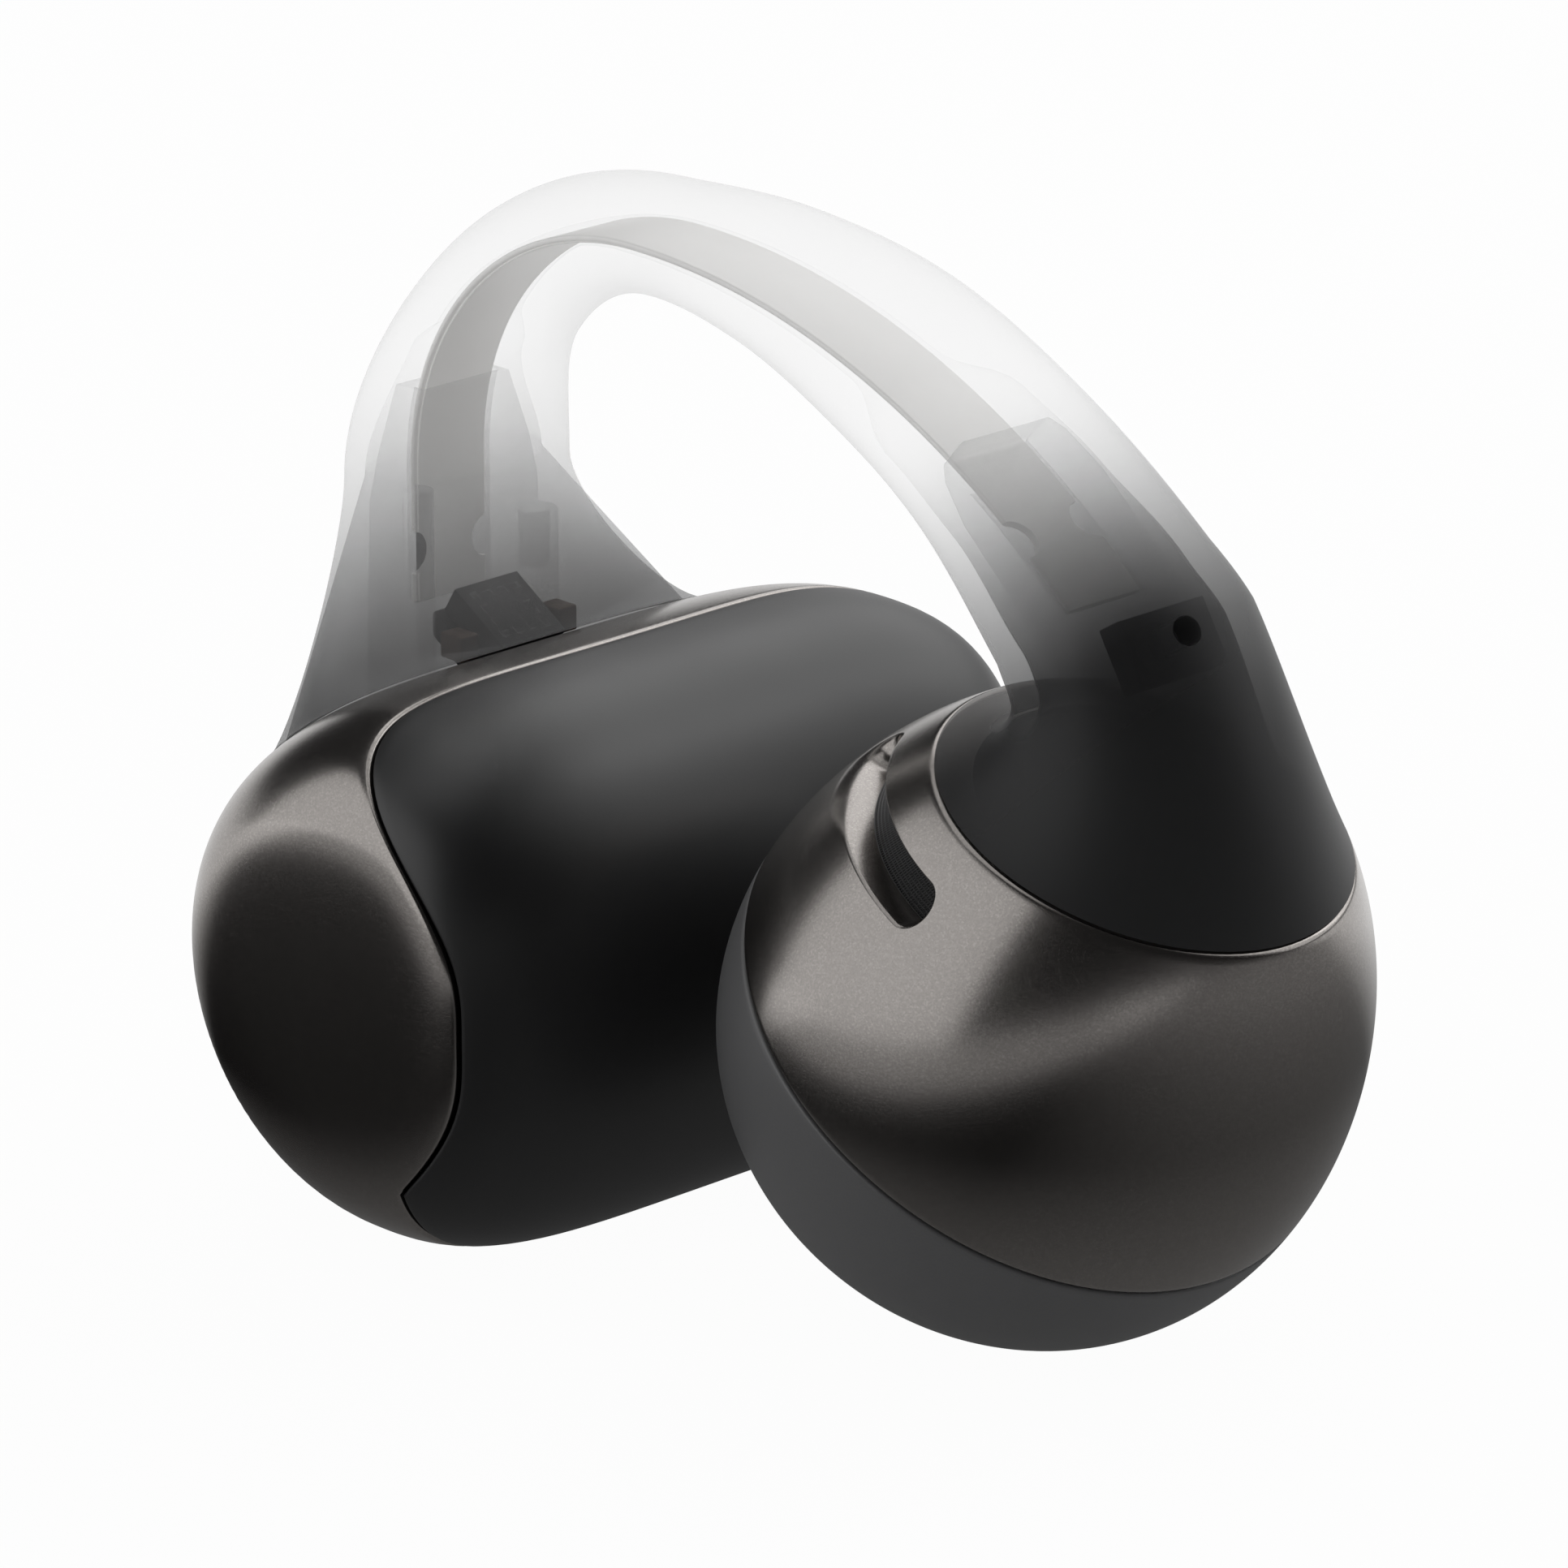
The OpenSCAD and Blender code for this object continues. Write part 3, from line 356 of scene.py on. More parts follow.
def carve(piece, *cutters):
    """Cuts other meshes out of a piece and deletes them."""
    for cutter in cutters:
        modify(piece, "BOOLEAN", operation="DIFFERENCE", solver="EXACT", object=cutter)
        bpy.data.objects.remove(cutter)


def smooth(piece, angle):
    """Smooth shading, but for edges sharper than an angle in degrees."""
    only(piece)
    bpy.ops.object.shade_smooth_by_angle(angle=math.radians(angle))


def seat(piece):
    """Puts a piece's place, turn and scale into its mesh."""
    only(piece)
    bpy.ops.object.transform_apply(location=True, rotation=True, scale=True)


def rod(name, middle, direction, radius, length, sides=48):
    """A round rod, in millimetres, along a direction."""
    piece = primitive(name, bpy.ops.mesh.primitive_cylinder_add, vertices=sides, radius=radius*MM, depth=length*MM)
    turn = Vector(direction).to_track_quat("Z", "Y").to_matrix().to_4x4()
    piece.matrix_world = Matrix.Translation(Vector(middle)*MM) @ turn
    seat(piece)
    return piece


def block(name, size, matrix):
    """A block of a size in millimetres, placed by a matrix in millimetres."""
    piece = primitive(name, bpy.ops.mesh.primitive_cube_add, size=1)
    piece.data.transform(Matrix.Scale(MM, 4) @ matrix @ Matrix.Diagonal((*size, 1)))
    return piece


def softened(node, name, width, segments=2):
    """A copy of a CAD node with its edges rounded."""
    bpy.ops.object.select_all(action="DESELECT")
    piece = NODES[node].copy()
    piece.data = NODES[node].data.copy()
    piece.parent = None
    piece.matrix_world = Matrix.Identity(4)
    for key in list(piece.keys()):
        del piece[key]
    piece.name = piece.data.name = name
    bpy.context.collection.objects.link(piece)
    piece.data.materials.clear()
    only(piece)
    bpy.ops.object.mode_set(mode="EDIT")
    bpy.ops.mesh.select_all(action="SELECT")
    bpy.ops.mesh.remove_doubles(threshold=1e-6)
    bpy.ops.mesh.dissolve_limited(angle_limit=math.radians(1))
    bpy.ops.object.mode_set(mode="OBJECT")
    modify(piece, "BEVEL", width=width*MM, segments=segments, limit_method="ANGLE",
           angle_limit=math.radians(40), use_clamp_overlap=True)
    smooth(piece, 40)
    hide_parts(node)
    return piece


# ---- finishes
class Value:
    """One socket of a material; sums on it add Math nodes."""

    def __init__(self, finish, socket):
        self.finish, self.socket = finish, socket

    def sum(self, operation, a, b=None):
        inputs = {0: a} if b is None else {0: a, 1: b}
        return self.finish.node("ShaderNodeMath", {"operation": operation}, inputs)

    def __add__(self, other):
        return self.sum("ADD", self, other)

    def __radd__(self, other):
        return self.sum("ADD", other, self)

    def __sub__(self, other):
        return self.sum("SUBTRACT", self, other)

    def __rsub__(self, other):
        return self.sum("SUBTRACT", other, self)

    def __mul__(self, other):
        return self.sum("MULTIPLY", self, other)

    def __rmul__(self, other):
        return self.sum("MULTIPLY", other, self)

    def __truediv__(self, other):
        return self.sum("DIVIDE", self, other)

    def __pow__(self, other):
        return self.sum("POWER", self, other)

    def clamp(self):
        return self.finish.node("ShaderNodeClamp", {}, {0: self})


class Finish:
    """One procedural material, or the world's."""

    def __init__(self, name, world=False):
        self.material = (bpy.data.worlds if world else bpy.data.materials).new(name)
        self.material.use_nodes = True
        self.tree = self.material.node_tree
        self.tree.nodes.clear()
        self.sheet = self.tree.nodes.new("ShaderNodeOutputWorld" if world else "ShaderNodeOutputMaterial")
        self.place = self.node("ShaderNodeTexCoord", {}, {}, "Generated" if world else "Object")

    def node(self, kind, settings, inputs, output=0):
        """Adds a node, with its settings first and then its sockets' values or links."""
        node = self.tree.nodes.new(kind)
        for key, value in settings.items():
            setattr(node, key, value)
        for key, value in inputs.items():
            if isinstance(value, Value):
                self.tree.links.new(value.socket, node.inputs[key])
            else:
                node.inputs[key].default_value = value
        return Value(self, node.outputs[output])

    def noise(self, size, detail=2.0, stretch=(1, 1, 1)):
        """Noise from 0 to 1 whose lumps are about size millimetres across."""
        scale = [s/(size*MM) for s in stretch]
        at = self.node("ShaderNodeMapping", {}, {"Vector": self.place, "Scale": scale})
        return self.node("ShaderNodeTexNoise", {},
                         {"Vector": at, "Scale": 1.0, "Detail": detail, "Roughness": 0.5})

    def flakes(self, size):
        """A random number for each flake of about size millimetres."""
        cells = self.node("ShaderNodeTexVoronoi", {}, {"Vector": self.place, "Scale": 1/(size*MM)}, "Color")
        return self.node("ShaderNodeSeparateColor", {}, {0: cells}, 0)

    def along(self, direction):
        """Reach of the place along a direction."""
        return self.node("ShaderNodeVectorMath", {"operation": "DOT_PRODUCT"},
                         {0: self.place, 1: tuple(direction)}, "Value")

    def ray(self, kind):
        """1 for one kind of ray, else 0."""
        return self.node("ShaderNodeLightPath", {}, {}, f"Is {kind} Ray")

    def mix(self, factor, a, b):
        """A colour between two colours."""
        a, b = ((*c, 1) if isinstance(c, tuple) else c for c in (a, b))
        return self.node("ShaderNodeMix", {"data_type": "RGBA"}, {0: factor, 6: a, 7: b}, 2)

    def bump(self, height, distance):
        """A relief up to a distance in millimetres."""
        return self.node("ShaderNodeBump", {}, {"Height": height, "Distance": distance*MM, "Strength": 1.0})

    def surface(self, inputs):
        """The principled surface; inputs are by socket name."""
        inputs = {k: (*v, 1) if isinstance(v, tuple) and len(v) == 3 else v for k, v in inputs.items()}
        shader = self.node("ShaderNodeBsdfPrincipled", {}, inputs)
        self.tree.links.new(shader.socket, self.sheet.inputs["Surface"])
        return self.material


def pearl_paint():
    """Warm grey-brown lacquer full of fine metal flakes."""
    f = Finish("pearl_paint")
    flake = f.flakes(0.035)
    grain = f.noise(0.06, 3)
    cloud = f.noise(5, 2)
    tone = f.mix((0.5*flake + 0.5*grain).clamp(), (0.295, 0.276, 0.262), (0.385, 0.362, 0.345))
    return f.surface({"Base Color": f.mix(0.08*flake**8, tone, (0.8, 0.77, 0.73)), "Metallic": 0.99,
                      "Roughness": 0.18 + 0.06*grain + 0.03*cloud,
                      "Normal": f.bump(0.6*flake + 0.4*grain, 0.0007)})


def soft_touch(name, tone):
    """Rubbery charcoal lacquer."""
    f = Finish(name)
    grain = f.noise(0.05, 3)
    cloud = f.noise(3, 2)
    low, high = tuple(0.9*c for c in tone), tuple(1.12*c for c in tone)
    return f.surface({"Base Color": f.mix(grain, low, high), "Roughness": 0.4 + 0.05*cloud + 0.05*grain,
                      "Specular IOR Level": 0.85, "Normal": f.bump(grain, 0.001)})


def sleeve_silicone():
    """Silicone, clear over the crown and charcoal at both ends, by the sleeve's own smoke attribute."""
    f = Finish("sleeve_silicone")
    smoke = f.node("ShaderNodeAttribute", {"attribute_name": "smoke"}, {}, "Fac")
    depth = f.node("ShaderNodeAttribute", {"attribute_name": "depth"}, {}, "Fac")
    rim = f.node("ShaderNodeLayerWeight", {}, {"Blend": 0.5}, "Facing")
    grain = f.noise(0.06, 2)
    tone = f.mix(smoke, (0.88, 0.88, 0.885), (0.03, 0.03, 0.031))
    hollow = f.node("ShaderNodeAttribute", {"attribute_name": "hollow"}, {}, "Fac")
    clear = (0.05 + 0.22*rim**3)*(1 - 0.75*hollow)
    return f.surface({"Base Color": tone, "Roughness": 0.3 + 0.14*smoke + 0.03*grain,
                      "Alpha": (clear*(1 - smoke) + depth*smoke).clamp(), "Specular IOR Level": 0.35,
                      "Normal": f.bump(grain, 0.0012)})


def clear_plastic():
    """Clear moulded plastic with a faint haze and bright edges."""
    f = Finish("clear_plastic")
    rim = f.node("ShaderNodeLayerWeight", {}, {"Blend": 0.4}, "Facing")
    haze = f.noise(0.8, 3)
    return f.surface({"Base Color": f.mix(haze, (0.90, 0.90, 0.90), (0.97, 0.97, 0.98)),
                      "Roughness": 0.16 + 0.06*haze, "Alpha": (0.08 + 0.03*haze + 0.3*rim**2).clamp()})


def strip_metal(name, lift):
    """Satin pale metal, finely brushed along the strip; lift is a painted glow, an emission of its tone that adds
    a little light of its own.
    """
    f = Finish(name)
    brush = f.noise(0.04, 3, stretch=(0.06, 1, 0.06))
    cloud = f.noise(2, 2)
    tone = f.mix(0.6*brush + 0.4*cloud, (0.67, 0.665, 0.655), (0.77, 0.765, 0.755))
    # Painted glow: the strip emits its own tone at strength lift, though it is no lamp.
    return f.surface({"Base Color": tone, "Metallic": 0.15, "Emission Color": tone, "Emission Strength": lift,
                      "Roughness": 0.40 + 0.08*brush, "Normal": f.bump(brush, 0.0008)})


def plain(name, tone, rough, metal=0.0, grain_size=0.08, relief=0.0015, spread=0.15):
    """A moulded, plated or rolled finish with a little grain."""
    f = Finish(name)
    grain = f.noise(grain_size, 3)
    cloud = f.noise(grain_size*30, 2)
    low, high = tuple((1 - spread)*c for c in tone), tuple(min(1.0, (1 + spread)*c) for c in tone)
    return f.surface({"Base Color": f.mix((0.6*grain + 0.4*cloud).clamp(), low, high), "Metallic": metal,
                      "Roughness": rough + 0.08*cloud, "Normal": f.bump(grain, relief)})


PEARL = pearl_paint()
COVER = soft_touch("cover_lacquer", (0.011, 0.011, 0.012))
CAP = soft_touch("cap_lacquer", (0.12, 0.12, 0.123))
SILICONE = sleeve_silicone()
CLEAR = clear_plastic()
# Both the spring strip and the coverlay carry a painted glow of strength 0.3.
STRIP = strip_metal("strip_metal", 0.3)
FLEX = strip_metal("coverlay", 0.3)
CHIP = plain("chip_black", (0.026, 0.026, 0.029), 0.42)
TRACE = plain("chip_traces", (0.17, 0.17, 0.175), 0.45)
COPPER = plain("copper", (0.42, 0.2, 0.11), 0.35, 0.8)
BRONZE = plain("terminal_bronze", (0.13, 0.075, 0.05), 0.45, 0.3)
GOLD = plain("gold_contact", (0.83, 0.62, 0.27), 0.25, 1.0)
NICKEL = plain("nickel", (0.66, 0.63, 0.56), 0.32, 1.0)
STEEL = plain("cell_steel", (0.72, 0.73, 0.74), 0.28, 1.0)
WRAP = plain("cell_wrap", (0.1, 0.24, 0.46), 0.45)
DARK = plain("dark_plastic", (0.035, 0.035, 0.038), 0.5)
BOARD = plain("board_green", (0.03, 0.1, 0.055), 0.4)
CREAM = plain("connector_cream", (0.72, 0.68, 0.6), 0.5)
MAGNET = plain("magnet_metal", (0.55, 0.56, 0.57), 0.25, 1.0)
MESH = plain("mesh_black", (0.02, 0.02, 0.021), 0.55, 0.0)
WIRE = plain("mesh_wire", (0.17, 0.17, 0.172), 0.4, 0.5)
FOAM = plain("foam", (0.08, 0.07, 0.065), 0.9, 0.0, 0.12, 0.01)
ROLL = plain("rubber_roll", (0.05, 0.05, 0.055), 0.6)
FILM = plain("film", (0.78, 0.75, 0.68), 0.4)
AMBER = plain("flex_amber", (0.5, 0.26, 0.07), 0.35)


def finish_piece(piece, material, body, slot, *nodes):
    """Gives a new piece its material and body and hides the CAD nodes it stands for; slot is not used."""
    piece.data.materials.clear()
    piece.data.materials.append(material)
    if nodes:
        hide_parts(*nodes)
    if body:
        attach(piece, body)
    return piece


def bends(piece):
    """The piece runs between the capsule's side and the ball's side, round the crown; its place is baked into its
    mesh.
    """
    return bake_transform(piece)


# ---- capsule
LIP = 0.07                                    # rounding of a shell's edges
SHELL_ROWS, COVER_ROWS, CAPSULE_COLUMNS = 96, 84, 288
CREASE = 40                                   # sharpest angle that a shell shades smooth, in degrees


def lip_rows(count=4):
    """Rounding of an edge: share of the lip in from the edge, and share of its depth."""
    a = np.linspace(0, math.pi/2, count)
    return [(1 - math.sin(x), 1 - math.cos(x)) for x in a]


def capsule_patch(name, shift, pole, outer_rows):
    """One half of the capsule: a wall from its rounded edge at the parting line to its pole."""
    inner_rows = outer_rows//3
    rows = [(1 - i/inner_rows, 0, WALL) for i in range(inner_rows + 1)]
    rows += [(0, back, depth) for back, depth in reversed([(LIP*b, LIP*d) for b, d in lip_rows()])]
    rows += [((i/outer_rows)**0.9, LIP, 0) for i in range(1, outer_rows + 1)]
    table = np.array(rows)
    turn = (1 if pole > 90 else -1)*180/math.pi/CAPSULE_HALF

    def place(row, share):
        phi = 360*share - 180
        edge = cover_edge(phi) + shift
        s, back, inset = table[row].T
        start = edge + turn*back
        return capsule_point(start + (pole - start)*s, phi, inset)

    return net(name, len(rows) - 1, CAPSULE_COLUMNS, place)


def capsule_shells():
    """The pearl half and the soft half of the capsule."""
    half_seam = SEAM/2/CAPSULE_HALF*180/math.pi
    shell = capsule_patch("shell_pearl", half_seam, 180, SHELL_ROWS)
    carve(shell, pin_hole(-1), pin_hole(1))
    carve(shell, port_block())
    smooth(shell, CREASE)
    finish_piece(shell, PEARL, "capsule", "pearl_shell", "capsule_shell")
    cover = capsule_patch("cover_soft", -half_seam, 0, COVER_ROWS)
    smooth(cover, CREASE)
    finish_piece(cover, COVER, "capsule", "soft_cover", "capsule_cover")


PIN_U, PIN_GAP, PIN_D, PIN_OUT = -112, 3.4, 1.3, 6
PORT_FROM, PORT_TO, PORT_W, PORT_H = 1.0, 3.2, 3.0, 4


def pin_hole(side):
    """What a charging pad's hole takes out of the shell."""
    direction = (math.cos(deg(PIN_U)), 0, math.sin(deg(PIN_U)))
    middle = (CAPSULE_X + PIN_OUT*direction[0], side*PIN_GAP/2, CAPSULE_HALF + PIN_OUT*direction[2])
    return rod("pin_hole", middle, direction, PIN_D/2 + FIT, 4, 32)


def port_block():
    """What the opening under the sleeve's foot takes out of the shell."""
    middle = ((LEG_X + (PORT_FROM + PORT_TO)/2), 0, CAPSULE_HALF*1.9)
    return block("port", (PORT_TO - PORT_FROM, PORT_W, PORT_H), Matrix.Translation(middle))


# ---- ball
def neck_height(azimuth, inset):
    """Height along the egg's axis at which the neck's plane cuts its skin."""
    low, high = np.full(len(azimuth), -CAP_DROP), np.full(len(azimuth), BALL_LEN/2 - inset)
    for _ in range(HALVINGS):
        z = (low + high)/2
        below = (egg_point(azimuth, z, inset) - NECK_AT) @ NECK_UP < 0
        low, high = np.where(below, z, low), np.where(below, high, z)
    return low


def band_rows(outer, inner):
    """Rows of a ring-shaped wall: share of the height, back off the lower and upper edge, and inset."""
    lip = [(LIP*b, LIP*d) for b, d in lip_rows()]
    rows = [(i/outer, LIP*(1 - 2*i/outer), 0) for i in range(outer + 1)]
    rows += [(1, -back, depth) for back, depth in lip[1:]]
    rows += [(1 - i/inner, 0, WALL) for i in range(inner + 1)]
    rows += [(0, back, depth) for back, depth in reversed(lip[1:])]
    return np.array(rows + [rows[0]])


BAND_OUTER, BAND_INNER, BAND_COLUMNS = 72, 20, 288
CAP_OUTER, CAP_INNER, CAP_COLUMNS = 72, 24, 256


def egg_point(azimuth, z, inset):
    """A point of the egg's skin, or of a skin further in."""
    r = egg_radius(z, inset)
    return from_egg(np.stack([r*np.cos(deg(azimuth)), r*np.sin(deg(azimuth)), z], 1))


def ball_shells():
    """The pearl band of the ball, with its slot, and the soft cap under it."""
    table = band_rows(BAND_OUTER, BAND_INNER)

    def band_point(row, share):
        azimuth = 360*share
        s, shift, inset = table[row].T
        top = neck_height(azimuth, inset)
        return egg_point(azimuth, -CAP_DROP + s*(top + CAP_DROP) + shift, inset)

    band = net("band_pearl", len(table) - 1, BAND_COLUMNS, band_point)
    carve(band, slot_plug())
    smooth(band, CREASE)
    finish_piece(band, PEARL, "ball", "pearl_shell", "ball_band")

    edge = -CAP_DROP - SEAM
    low = -BALL_LEN/2
    lip = [(LIP*b, LIP*d) for b, d in lip_rows()]
    cap_rows = [(low + WALL + (edge - low - WALL)*i/CAP_INNER, WALL) for i in range(CAP_INNER + 1)]
    cap_rows += [(edge - back, depth) for back, depth in reversed(lip)]
    arc = [math.sin(i/CAP_OUTER*math.pi/2) for i in range(1, CAP_OUTER + 1)]
    cap_rows += [(edge - LIP + (low - edge + LIP)*s, 0) for s in arc]
    cap_table = np.array(cap_rows)

    def cap_point(row, share):
        z, inset = cap_table[row].T
        return egg_point(360*share, z, inset)

    cap = net("cap_soft", len(cap_rows) - 1, CAP_COLUMNS, cap_point)
    smooth(cap, CREASE)
    finish_piece(cap, CAP, "ball", "soft_cover", "ball_cap")


def turned(axis, angle):
    """A turn about an axis, as a matrix of numbers."""
    return np.array(Matrix.Rotation(math.radians(angle), 3, axis))


SLOT_AXES = (turned("Z", LEAN_TURN) @ turned("X", -SLOT_LEAN) @ turned("Z", SLOT_TURN - LEAN_TURN)).T
SLOT_R = 6.3                                  # nominal radius of the slot's arc
SLOT_HALF = SLOT_R*deg(SLOT_ARC)/2            # half the length of its middle line
SLOT_PROUD, SLOT_PAST, SLOT_COLUMNS = 0.4, 0.6, 240
BRIM, FAR_BRIM, FAR_FROM, FAR_RUN = 0.07, 0.3, 0.3, 1.8
BRIM_ROWS, WELL_DEPTH = 9, 10                 # the depth marks rows past the wall, whatever the wall is


def slot_point(along, across, inset):
    """A point of the egg's skin by its place along and across the slot, in millimetres."""
    angle = along/SLOT_R
    ray = np.stack([np.cos(angle), np.sin(angle), np.zeros(len(angle))], 1) @ SLOT_AXES @ EGG_AXES
    start = from_egg(across[:, None]*np.array([0, 0, 1.0]) @ SLOT_AXES + np.array([0, 0, SLOT_RISE]))
    return start + (skin_distance(start, ray, 0.0) - inset[:, None])*ray


def slot_plug():
    """What the outlet slot takes out of the band, with a rounded brim, wide on the far side."""
    half = SLOT_HALF
    rows = [(None, -SLOT_PROUD), (1, -SLOT_PROUD)]
    rows += [(1 - math.sin(a), 1 - math.cos(a)) for a in np.linspace(0, math.pi/2, BRIM_ROWS)]
    rows += [(0, WELL_DEPTH), (None, WELL_DEPTH)]
    table = np.array([(0 if wide is None else wide, deep, wide is None) for wide, deep in rows])
    lap = 2*half*2 + math.pi*SLOT_W

    def outline(share, out):
        """A stadium round the slot's middle line, widened by out."""
        r = SLOT_W/2 + out
        s = share*lap
        run, bend = 2*half, math.pi*SLOT_W/2
        a = np.clip((s - run)/(SLOT_W/2), 0, math.pi)
        b = np.clip((s - 2*run - bend)/(SLOT_W/2), 0, math.pi)
        along = np.where(s < run, -half + s, np.where(s < run + bend, half + r*np.sin(a),
                         np.where(s < 2*run + bend, half - (s - run - bend), -half - r*np.sin(b))))
        across = np.where(s < run, -r, np.where(s < run + bend, -r*np.cos(a),
                          np.where(s < 2*run + bend, r, r*np.cos(b))))
        return along, across

    def place(row, share):
        at, side = outline(share, 0*share)
        far = np.clip((-at + FAR_FROM)/FAR_RUN, 0, 1)
        lower = np.clip((SLOT_W/4 - side)/(SLOT_W/2), 0, 1)
        brim = BRIM + FAR_BRIM*far*far*(3 - 2*far)*lower
        widen, depth, pole = table[row].T
        along, across = outline(share, brim*widen)
        deep = np.where(depth < 0, depth, np.where(depth == WELL_DEPTH, WALL + SLOT_PAST, brim*depth))
        return slot_point(along*(1 - pole), across*(1 - pole), deep)

    return net("slot_plug", len(rows) - 1, SLOT_COLUMNS, place)


MESH_PITCH, MESH_WIRE, MESH_SLANT = 0.085, 0.034, 0.25
MESH_W, MESH_PAST, MESH_GAP = 1.5, 0.7, 0.04


def outlet_weave():
    """The fine wire mesh under the slot."""
    half = SLOT_HALF + MESH_PAST
    weave = primitive("outlet_weave", bpy.ops.mesh.primitive_grid_add, x_subdivisions=round(2*half/MESH_PITCH),
                      y_subdivisions=round(MESH_W/MESH_PITCH), size=1)
    flat = places(weave)
    move_to(weave, slot_point(flat[:, 0]*2*half + MESH_SLANT*flat[:, 1], flat[:, 1]*MESH_W,
                              np.full(len(flat), WALL + MESH_GAP)))
    modify(weave, "WIREFRAME", thickness=MESH_WIRE*MM, use_even_offset=False)
    smooth(weave, 30)
    finish_piece(weave, WIRE, "ball", "mesh_black")


# ---- bridge
def mark(piece, name, values):
    """Stores one number a point on a piece."""
    layer = piece.data.attributes.new(name, "FLOAT", "POINT")
    layer.data.foreach_set("value", np.asarray(values, np.float32))


def ease(v, low, high):
    """0 up to the low value and 1 from the high one, smooth between."""
    s = np.clip((v - low)/(high - low), 0, 1)
    return s*s*(3 - 2*s)


MIC_PLACE, MIC_Y, MIC_PORT = 2.3, -0.65, 0.33
MIC_OUT, MIC_BORE = 3, 5                      # middle of the bore out from the middle line, and its length
FOOT_ROWS, TUBE_ROWS, CUFF_ROWS, SLEEVE_COLUMNS = 18, 110, 30, 96
SMOKE_REAR, SMOKE_FRONT, SMOKE_POWER = (9.5, 18.6), (-5.6, 1.8), 1.15
DEPTH_REAR, DEPTH_WRIST, DEPTH_NECK, DEPTH_RUN = 0.55, 0.62, 0.95, 5
LINE_STEPS = 160


def near_hollow(p):
    """1 on the sleeve's inner skin, 0 on its outer one."""
    ts = np.linspace(0, CUFF_T, LINE_STEPS)
    at, _, out = spine(ts)
    inner = np.zeros(len(p))
    for i, q in enumerate(p):
        k = np.argmin(np.sum((at - q)**2, axis=1))
        d = q - at[k]
        up, side = d @ out[k], d[1]
        c, s = math.cos(math.atan2(side, up)), math.sin(math.atan2(side, up))
        face = 1 if c > 0 else 2
        reach = [1/math.hypot(c/size_at(table, ts[k:k+1], face, soft)[0], s/size_at(table, ts[k:k+1], 3, soft)[0])
                 for table, soft in ((SLEEVE, 1), (HOLLOW, 0))]
        inner[i] = 0 < k < len(ts) - 1 and np.hypot(up, side) < sum(reach)/2
    return inner


def bridge_sleeve():
    """The silicone sleeve: flare, tube and cuff, out along its skin and back inside."""
    flare_kind, tube_kind, cuff_kind = range(3)
    rows = ([(flare_kind, 1 - i/FOOT_ROWS) for i in range(FOOT_ROWS)]
            + [(tube_kind, i/TUBE_ROWS) for i in range(TUBE_ROWS)]
            + [(cuff_kind, i/CUFF_ROWS) for i in range(CUFF_ROWS + 1)])
    count = len(rows)
    kinds = np.array([kind for kind, _ in rows])
    shares = np.array([s for _, s in rows])

    def place(row, share):
        angle = 360*share
        loop = row % (2*count)
        within = loop >= count
        i = np.where(within, 2*count - 1 - loop, loop)
        points = np.zeros((len(row), 3))
        for kind in (flare_kind, tube_kind, cuff_kind):
            for inner in (False, True):
                pick = (kinds[i] == kind) & (within == inner)
                s, a = shares[i[pick]], angle[pick]
                table, soft, inset = (HOLLOW, 0, SKIRT_WALL) if inner else (SLEEVE, 1, 0.0)
                if kind == flare_kind and inner:
                    points[pick] = (s[:, None]*foot(a, FOOT_INNER, FIT)
                                    + (1 - s)[:, None]*section(np.zeros(len(a)), a, HOLLOW, 0))
                elif kind == flare_kind:
                    points[pick] = flare(s, a)
                elif kind == tube_kind:
                    points[pick] = section(s*CUFF_T, a, table, soft)
                else:
                    points[pick] = cuff(s, a, table, soft, inset)
        return points

    sleeve = net("bridge_silicone", 2*count, SLEEVE_COLUMNS, place)
    mark(sleeve, "hollow", near_hollow(places(sleeve)/MM))
    at, _, out = spine(MIC_PLACE)
    bore_at = at[0] + np.array([0, MIC_Y, 0]) + MIC_OUT*out[0]
    carve(sleeve, rod("mic_bore", bore_at, out[0], MIC_PORT, MIC_BORE))
    p = places(sleeve)/MM
    front = p[:, 0] > CROWN_X
    along = (p - TIP_AT) @ TIP_DIR
    smoke = np.where(front, ease(along, *SMOKE_FRONT), 1 - ease(p[:, 2], *SMOKE_REAR))
    front_depth = DEPTH_WRIST + (DEPTH_NECK - DEPTH_WRIST)*ease(along, 0, DEPTH_RUN)
    mark(sleeve, "smoke", smoke**SMOKE_POWER)
    mark(sleeve, "depth", np.where(front, front_depth, DEPTH_REAR))
    smooth(sleeve, 50)
    bends(sleeve)
    finish_piece(sleeve, SILICONE, None, "clear_sleeve", "bridge_sleeve")


LEG_ROWS, BEND_ROWS = 12, 150
STRIP_LIP, FLEX_GAP, FLEX_IN = 0.35, 0.002, 0.2


